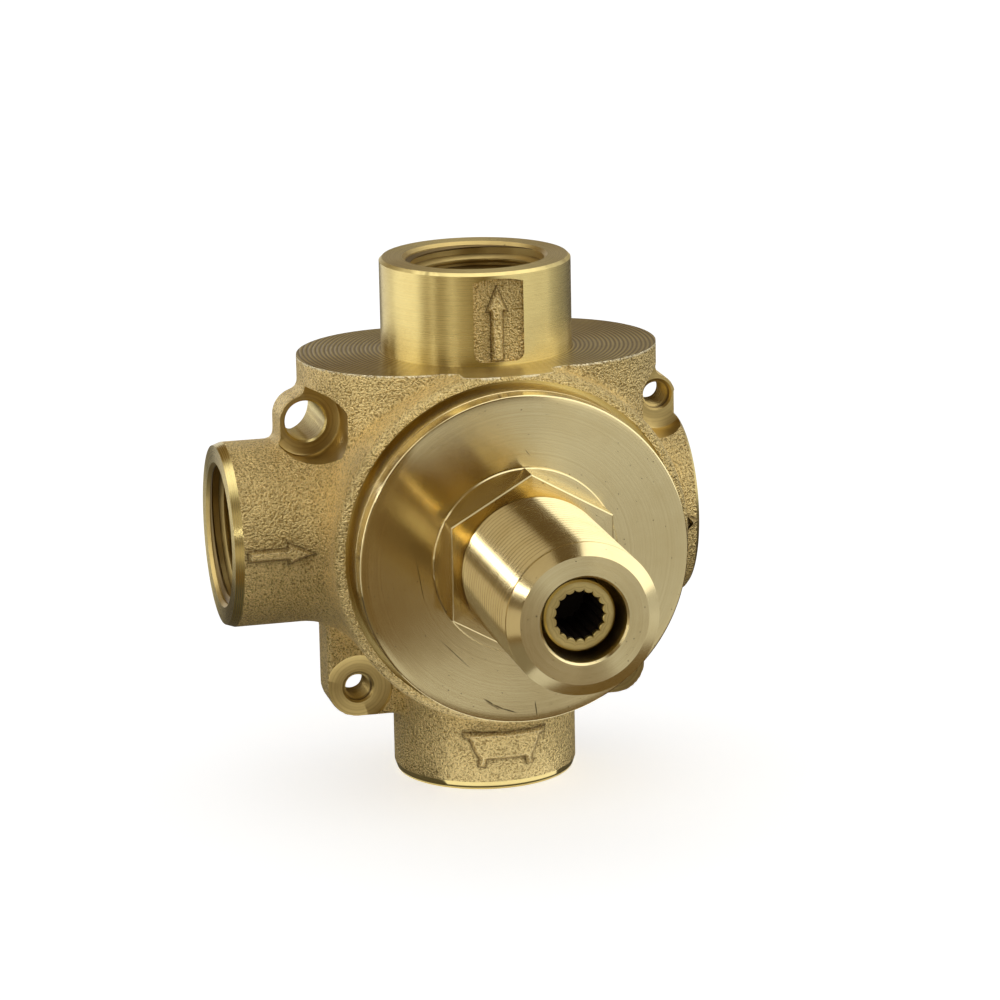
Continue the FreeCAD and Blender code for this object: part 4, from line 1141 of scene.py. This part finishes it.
class VALVE_OT_threads(bpy.types.Operator):
    """Wind the threads of the ports, the tapped ears and the nose"""
    bl_idname = "valve.threads"
    bl_label = "Threads"

    def execute(self, context):
        b, c, t = sizes("valve_bonnet"), sizes("valve_casting"), sizes("valve_threads")
        tree = thread_tree()
        dark, bright = FINISHES["bore_brass"], FINISHES["nose_brass"]
        bore = MOUNTS["top_port"]["dims"]["r_mm"]
        ports = [thread_mesh(tree, axis, reach - c.mouth_chamfer - t.pipe_length, bore, t.pipe_pitch,
                             t.pipe_length, t.pipe_height, dark) for axis, reach in PORTS.values()]
        ears = [thread_mesh(tree, front_axis_at(across, up), c.ear_front - c.ear_thickness, hole, t.ear_pitch,
                            c.ear_thickness - c.hole_chamfer, t.ear_height, dark, facets=48)
                for name, across, up, hole in ear_places() if name != "upper_left_ear"]
        start = b.flange_front + b.hex_height + b.thread_pitch / 2
        run = -BONNET_LOW.y - b.nose_chamfer - b.thread_land / 2 - b.thread_pitch / 2 - start
        root = MOUNTS["nose_thread"]["dims"]["r_mm"] - b.thread_height
        nose = thread_mesh(tree, FRONT_AXIS, start, root, b.thread_pitch, run, b.thread_height, bright,
                           outward=True)
        for name, ridges, finish in (("pipe_threads", ports, dark), ("ear_threads", ears, dark),
                                     ("nose_thread_ridge", [nose], bright)):
            finish_piece(join_meshes(name, ridges), "valve", [finish], sharp=30.0)
        return {"FINISHED"}


# Raised marks, drawn flat as distances in millimetres
def polygon(u, v, corners):
    """Distance to a closed outline, negative inside it."""
    nearest = np.full(np.shape(u), np.inf)
    inside = np.zeros(np.shape(u), bool)
    for (u0, v0), (u1, v1) in zip(corners, corners[1:] + corners[:1]):
        run = (u1 - u0) ** 2 + (v1 - v0) ** 2
        share = np.clip(((u - u0) * (u1 - u0) + (v - v0) * (v1 - v0)) / run, 0, 1)
        nearest = np.minimum(nearest, np.hypot(u - u0 - share * (u1 - u0), v - v0 - share * (v1 - v0)))
        if v0 != v1:
            inside ^= ((v0 > v) != (v1 > v)) & (u < u0 + (v - v0) * (u1 - u0) / (v1 - v0))
    return np.where(inside, -nearest, nearest)


def arrow(u, v, tail, neck, tip, half_shaft, half_head):
    """Flow arrow along u: shaft from tail to neck, then the head to its tip."""
    side = [(tip, 0.0), (neck, half_head), (neck, half_shaft), (tail, half_shaft)]
    return polygon(u, v, side + [(along, -across) for along, across in reversed(side[1:])])


# Flow arrows from the port axes: tail, neck, tip, half shaft and half head
TOP_ARROW = (26.7, 34.3, 38.6, 1.1, 1.9)
LEFT_ARROW = (-38.9, -32.9, -28.5, 1.0, 1.9)
RIGHT_ARROW = (22.0, 27.4, 30.9, 1.0, 2.0)
# Right half of the bath tub, seen from the side: rolled rim, tub and foot
BATH_HALF = [(6.6, 2.5), (6.5, 1.5), (5.6, 1.2), (5.0, -0.6), (4.3, -1.7), (4.5, -3.2), (3.1, -3.2),
             (2.9, -2.0)]
# Boxes that hold the marks: low and high corners, with depths from the nearest line of the cast ports
MARK_BOXES = {
    "arrow_top": ((-2.5, -1.2, 27), (2.5, 1.4, 39)),
    "arrow_left": ((-39.2, -1.2, -2), (-28.4, 1, 2)),
    "arrow_right": ((21.8, -1.2, -2), (30.6, 1, 2)),
    "bath_sign": ((-6.8, -0.8, -36.6), (6.8, 2.6, -30)),
}


def raised_marks(c, m):
    """Marks by name: outline and height over the ground, as functions of points."""
    flat = PORT_DEPTH + c.top_port_radius - c.flat_depth
    bath = BATH_HALF + [(-u, v) for u, v in reversed(BATH_HALF)]

    def over_flat(p):
        return -p[..., 1] - flat

    def over_cast(p):
        return casting_distance(p, c)

    return {
        "arrow_top": (lambda p: arrow(p[..., 2], p[..., 0] - m.arrow_shift, *TOP_ARROW), over_flat),
        "arrow_left": (lambda p: arrow(p[..., 0], p[..., 2], *LEFT_ARROW), over_cast),
        "arrow_right": (lambda p: arrow(p[..., 0], p[..., 2], *RIGHT_ARROW), over_cast),
        "bath_sign": (lambda p: polygon(p[..., 0], p[..., 2] - m.bath_height, bath), over_cast),
    }


# Part of the relief that counts as a mark's top, its painted shade at the foot and on the ground, and
# its painted highlight on the rim
ON_TOP, FOOT_SHADE, GROUND_SHADE, RIM_HIGHLIGHT = 0.1, 0.95, 0.5, 0.4


class VALVE_OT_marks(bpy.types.Operator):
    """Raise the cast flow arrows and the bath sign"""
    bl_idname = "valve.marks"
    bl_label = "Marks"

    def execute(self, context):
        c, m = sizes("valve_casting"), sizes("valve_marks")
        casting = bpy.data.objects["casting"].data
        ground = mesh_points(casting)
        soil = read_values(casting.attributes["soil"].data, "value", kind=np.float32)
        in_front = ground[:, 1] < -PORT_DEPTH
        near = np.array((0.0, -PORT_DEPTH - c.port_radius, 0.0))
        for name, (shape, height) in raised_marks(c, m).items():
            def raised(points):
                over = height(points)
                sides = (shape(points) + np.maximum(over, 0)) * math.sqrt(0.5)
                return np.maximum(np.maximum(sides, over - m.relief), -m.relief - over)

            low, high = (near + corner for corner in MARK_BOXES[name])
            piece = new_object(name, skin_mesh(raised, low, high, m.voxel, name))
            points = mesh_points(piece.data)
            # Painted shade on the marks' sides, darkest at the foot, and a painted highlight along the rim of
            # their tops.
            foot = 1.0 - height(points) / m.relief
            rim = np.clip(1.0 + (shape(points) + m.relief) / m.highlight_rim, 0, 1)
            set_painted_light(piece.data, np.where(foot > ON_TOP, FOOT_SHADE * np.clip(foot, 0, 1), -RIM_HIGHLIGHT * rim))
            finish_piece(piece, "valve", [FINISHES["blasted_brass"]], sharp=60.0)
            # Painted shade on the casting round each mark's foot, in front of the port axes.
            around = np.clip(1.0 - shape(ground) / m.shade_reach, 0, 1) * in_front
            soil = np.where(around > 0, np.maximum(soil, GROUND_SHADE * around), soil)
        set_painted_light(casting, soil)
        return {"FINISHED"}


def white_to_sight(tree):
    """A socket that is one for camera, glossy and transmission rays, and nought for the rest."""
    ray = tree.nodes.new("ShaderNodeLightPath").outputs
    seen = maths(tree, "MAXIMUM", ray["Is Camera Ray"], ray["Is Glossy Ray"])
    return maths(tree, "MAXIMUM", seen, ray["Is Transmission Ray"])


# Studio cards round the valve: name, azimuths, elevations in degrees, distance, brightness, tint
WHITE, WARM, BROWN = (1.0, 1.0, 1.0), (1.0, 0.88, 0.68), (1.0, 0.66, 0.26)
CARDS = (
    ("front_dark", -62, 16, -3, 55, 0.95, 0.12, BROWN),
    ("front_mid", -44, -10, 18, 38, 0.9, 0.55, WARM),
    ("front_strip", -46.0, -34.0, 9.5, 14.5, 0.85, 8.0, WHITE),
    ("side_grey", -84, -62, -3, 55, 0.95, 0.6, WARM),
    ("side_strip", -66, -62.5, -3, 30, 0.85, 3.0, WHITE),
    ("left_box", -125, -84, -3, 55, 0.95, 1.9, WHITE),
    ("left_dark", -156, -125, -3, 17, 0.95, 0.2, BROWN),
    ("left_upper_dark", -190, -125, 17, 62, 0.95, 0.2, BROWN),
    ("left_strip", -146, -134, 10.5, 13.0, 0.85, 5.0, WHITE),
    ("right_box", 16, 100, 0, 62, 0.95, 1.7, WHITE),
    ("back_dark", 130, 176, -3, 45, 0.95, 0.32, WARM),
    ("top_box", -180, 180, 62, 89, 0.95, 1.7, WHITE),
)
# Sheets on the floor: name, near left and far right corners in metres, lift in metres, brightness, tint
SHEETS = (
    # Painted shadow: a dark sheet under and behind the valve, where its shadow falls, seen only in
    # reflections.
    ("under_dark", (-0.1, -0.055), (0.6, 0.5), 0.0003, 0.08, WARM),
    ("foot_grey", (-0.032, -0.05), (0.022, -0.028), 0.0006, 1.3, WHITE),
    ("near_grey", (-0.022, -0.125), (0.3, -0.09), 0.0003, 0.7, WHITE),
    ("near_dark", (-0.3, -0.09), (0.3, -0.055), 0.0003, 0.16, BROWN),
    ("near_left", (-0.3, -0.125), (-0.022, -0.09), 0.0003, 0.25, WARM),
    ("front_right", (0.03, -1.2), (1.0, -0.125), 0.0003, 0.6, WHITE),
    ("front_left_dark", (-0.07, -1.2), (0.03, -0.125), 0.0003, 0.18, BROWN),
    ("far_left", (-1.0, -1.2), (-0.07, -0.125), 0.0003, 0.6, WARM),
)


def reflected(name, points, faces, value, tint):
    """Soft box or dark card that only reflections see."""
    mesh = bpy.data.meshes.new(name)
    mesh.from_pydata(points, [], faces)
    piece = new_object(name, mesh)
    material, tree, light = new_material(name, "ShaderNodeEmission")
    set_inputs(tree, light, {"Strength": value, "Color": (*tint, 1.0)})
    mesh.materials.append(material)
    piece.visible_camera = False
    piece.visible_diffuse = False
    piece.visible_shadow = False


def way_to(azimuth, elevation):
    """Direction from the valve, with azimuth nought in front of it."""
    level = math.cos(elevation)
    return Vector((math.sin(azimuth) * level, -math.cos(azimuth) * level, math.sin(elevation)))


def card(name, left, right, low, high, distance, value, tint, steps=8):
    """Card bent round the valve between two azimuths and two elevations."""
    row = steps + 1
    points = [way_to(azimuth, elevation) * distance
              for elevation in np.radians(np.linspace(low, high, row))
              for azimuth in np.radians(np.linspace(left, right, row))]
    faces = [(k, k + 1, k + row + 1, k + row) for k in range(steps * row) if k % row < steps]
    reflected(name, points, faces, value, tint)


def level_square(near, far, lift=0.0):
    """Corners of a square on the floor, or a little above it, and its one face."""
    level = CAD_BOX[0].z + lift
    corners = (near, (far[0], near[1]), far, (near[0], far[1]))
    return [(*corner, level) for corner in corners], [(0, 1, 2, 3)]


def sheet(name, near, far, lift, value, tint):
    """Sheet that lies on the floor."""
    reflected(name, *level_square(near, far, lift), value, tint)


class VALVE_OT_stage(bpy.types.Operator):
    """Set the floor, the light, the cards and the camera"""
    bl_idname = "valve.stage"
    bl_label = "Stage"

    def execute(self, context):
        settings = context.scene.valve_stage
        self.camera(settings)
        self.floor(settings)
        self.light(context)
        context.scene.view_settings.view_transform = "Standard"
        return {"FINISHED"}

    def camera(self, settings):
        roll = settings.roll
        back = way_to(settings.azimuth, settings.elevation)
        level = Vector((math.cos(settings.azimuth), math.sin(settings.azimuth), 0.0))
        over = back.cross(level)
        right = level * math.cos(roll) + over * math.sin(roll)
        up = over * math.cos(roll) - level * math.sin(roll)
        aim = Vector(PORT_CROSS) * MM + right * settings.aim_right + up * settings.aim_up
        data = bpy.data.cameras.new("photo_camera")
        data.lens = settings.lens
        data.sensor_width = settings.sensor
        camera = new_object("photo_camera", data)
        placing = Matrix((right, up, back)).transposed().to_4x4()
        placing.translation = aim + back * settings.distance
        camera.matrix_world = placing
        bpy.context.scene.camera = camera

    def floor(self, settings):
        half = settings.floor_half
        mesh = bpy.data.meshes.new("floor")
        points, faces = level_square((-half, -half), (half, half))
        mesh.from_pydata(points, [], faces)
        floor = new_object("floor", mesh)
        material, tree, shader = new_material("pale_floor")
        set_inputs(tree, shader, {
            "Base Color": (*settings.floor, 1.0), "Roughness": 0.9, "Specular IOR Level": 0.0,
            "Emission Color": (*WHITE, 1.0),
            "Emission Strength": maths(tree, "MULTIPLY", white_to_sight(tree), settings.floor_lift)})
        mesh.materials.append(material)

    def light(self, context):
        world = bpy.data.worlds.new("studio")
        context.scene.world = world
        world.use_nodes = True
        tree = world.node_tree
        sky = only_shader(tree, "ShaderNodeBackground", "ShaderNodeOutputWorld")
        strength = ramp(tree, white_to_sight(tree), 0.0, 1.0, context.scene.valve_stage.sky, 1.0)
        set_inputs(tree, sky, {"Strength": strength})
        for settings in CARDS:
            card(*settings)
        for settings in SHEETS:
            sheet(*settings)


class VALVE_PT_panel(bpy.types.Panel):
    """Sizes, colours and pieces of the valve"""
    bl_idname = "VALVE_PT_panel"
    bl_label = "Diverter Valve"
    bl_space_type = "VIEW_3D"
    bl_region_type = "UI"
    bl_category = "Valve"

    def draw(self, context):
        for group in GROUPS:
            settings = getattr(context.scene, group)
            box = self.layout.box()
            for prop in settings.bl_rna.properties:
                if prop.identifier not in {"rna_type", "name"}:
                    box.prop(settings, prop.identifier)
        for operator in OPERATORS:
            self.layout.operator(operator.bl_idname)


GROUPS = {
    "valve_casting": CastingSizes, "valve_bonnet": BonnetSizes, "valve_stem": StemSizes,
    "valve_threads": ThreadSizes, "valve_marks": MarkSizes, "valve_colours": ValveColours,
    "valve_stage": StageSettings,
}
OPERATORS = (VALVE_OT_materials, VALVE_OT_casting, VALVE_OT_bonnet, VALVE_OT_stem, VALVE_OT_threads,
             VALVE_OT_marks, VALVE_OT_stage)


def register():
    for group in GROUPS.values():
        bpy.utils.register_class(group)
    for name, group in GROUPS.items():
        setattr(bpy.types.Scene, name, PointerProperty(type=group))
    for operator in OPERATORS:
        bpy.utils.register_class(operator)
    bpy.utils.register_class(VALVE_PT_panel)


def unregister():
    bpy.utils.unregister_class(VALVE_PT_panel)
    for operator in reversed(OPERATORS):
        bpy.utils.unregister_class(operator)
    for name, group in reversed(list(GROUPS.items())):
        delattr(bpy.types.Scene, name)
        bpy.utils.unregister_class(group)


def main():
    register()
    bpy.ops.valve.materials()
    bpy.ops.valve.stage()
    bpy.ops.valve.casting()
    bpy.ops.valve.bonnet()
    bpy.ops.valve.stem()
    bpy.ops.valve.threads()
    bpy.ops.valve.marks()


if __name__ == "__main__":
    main()
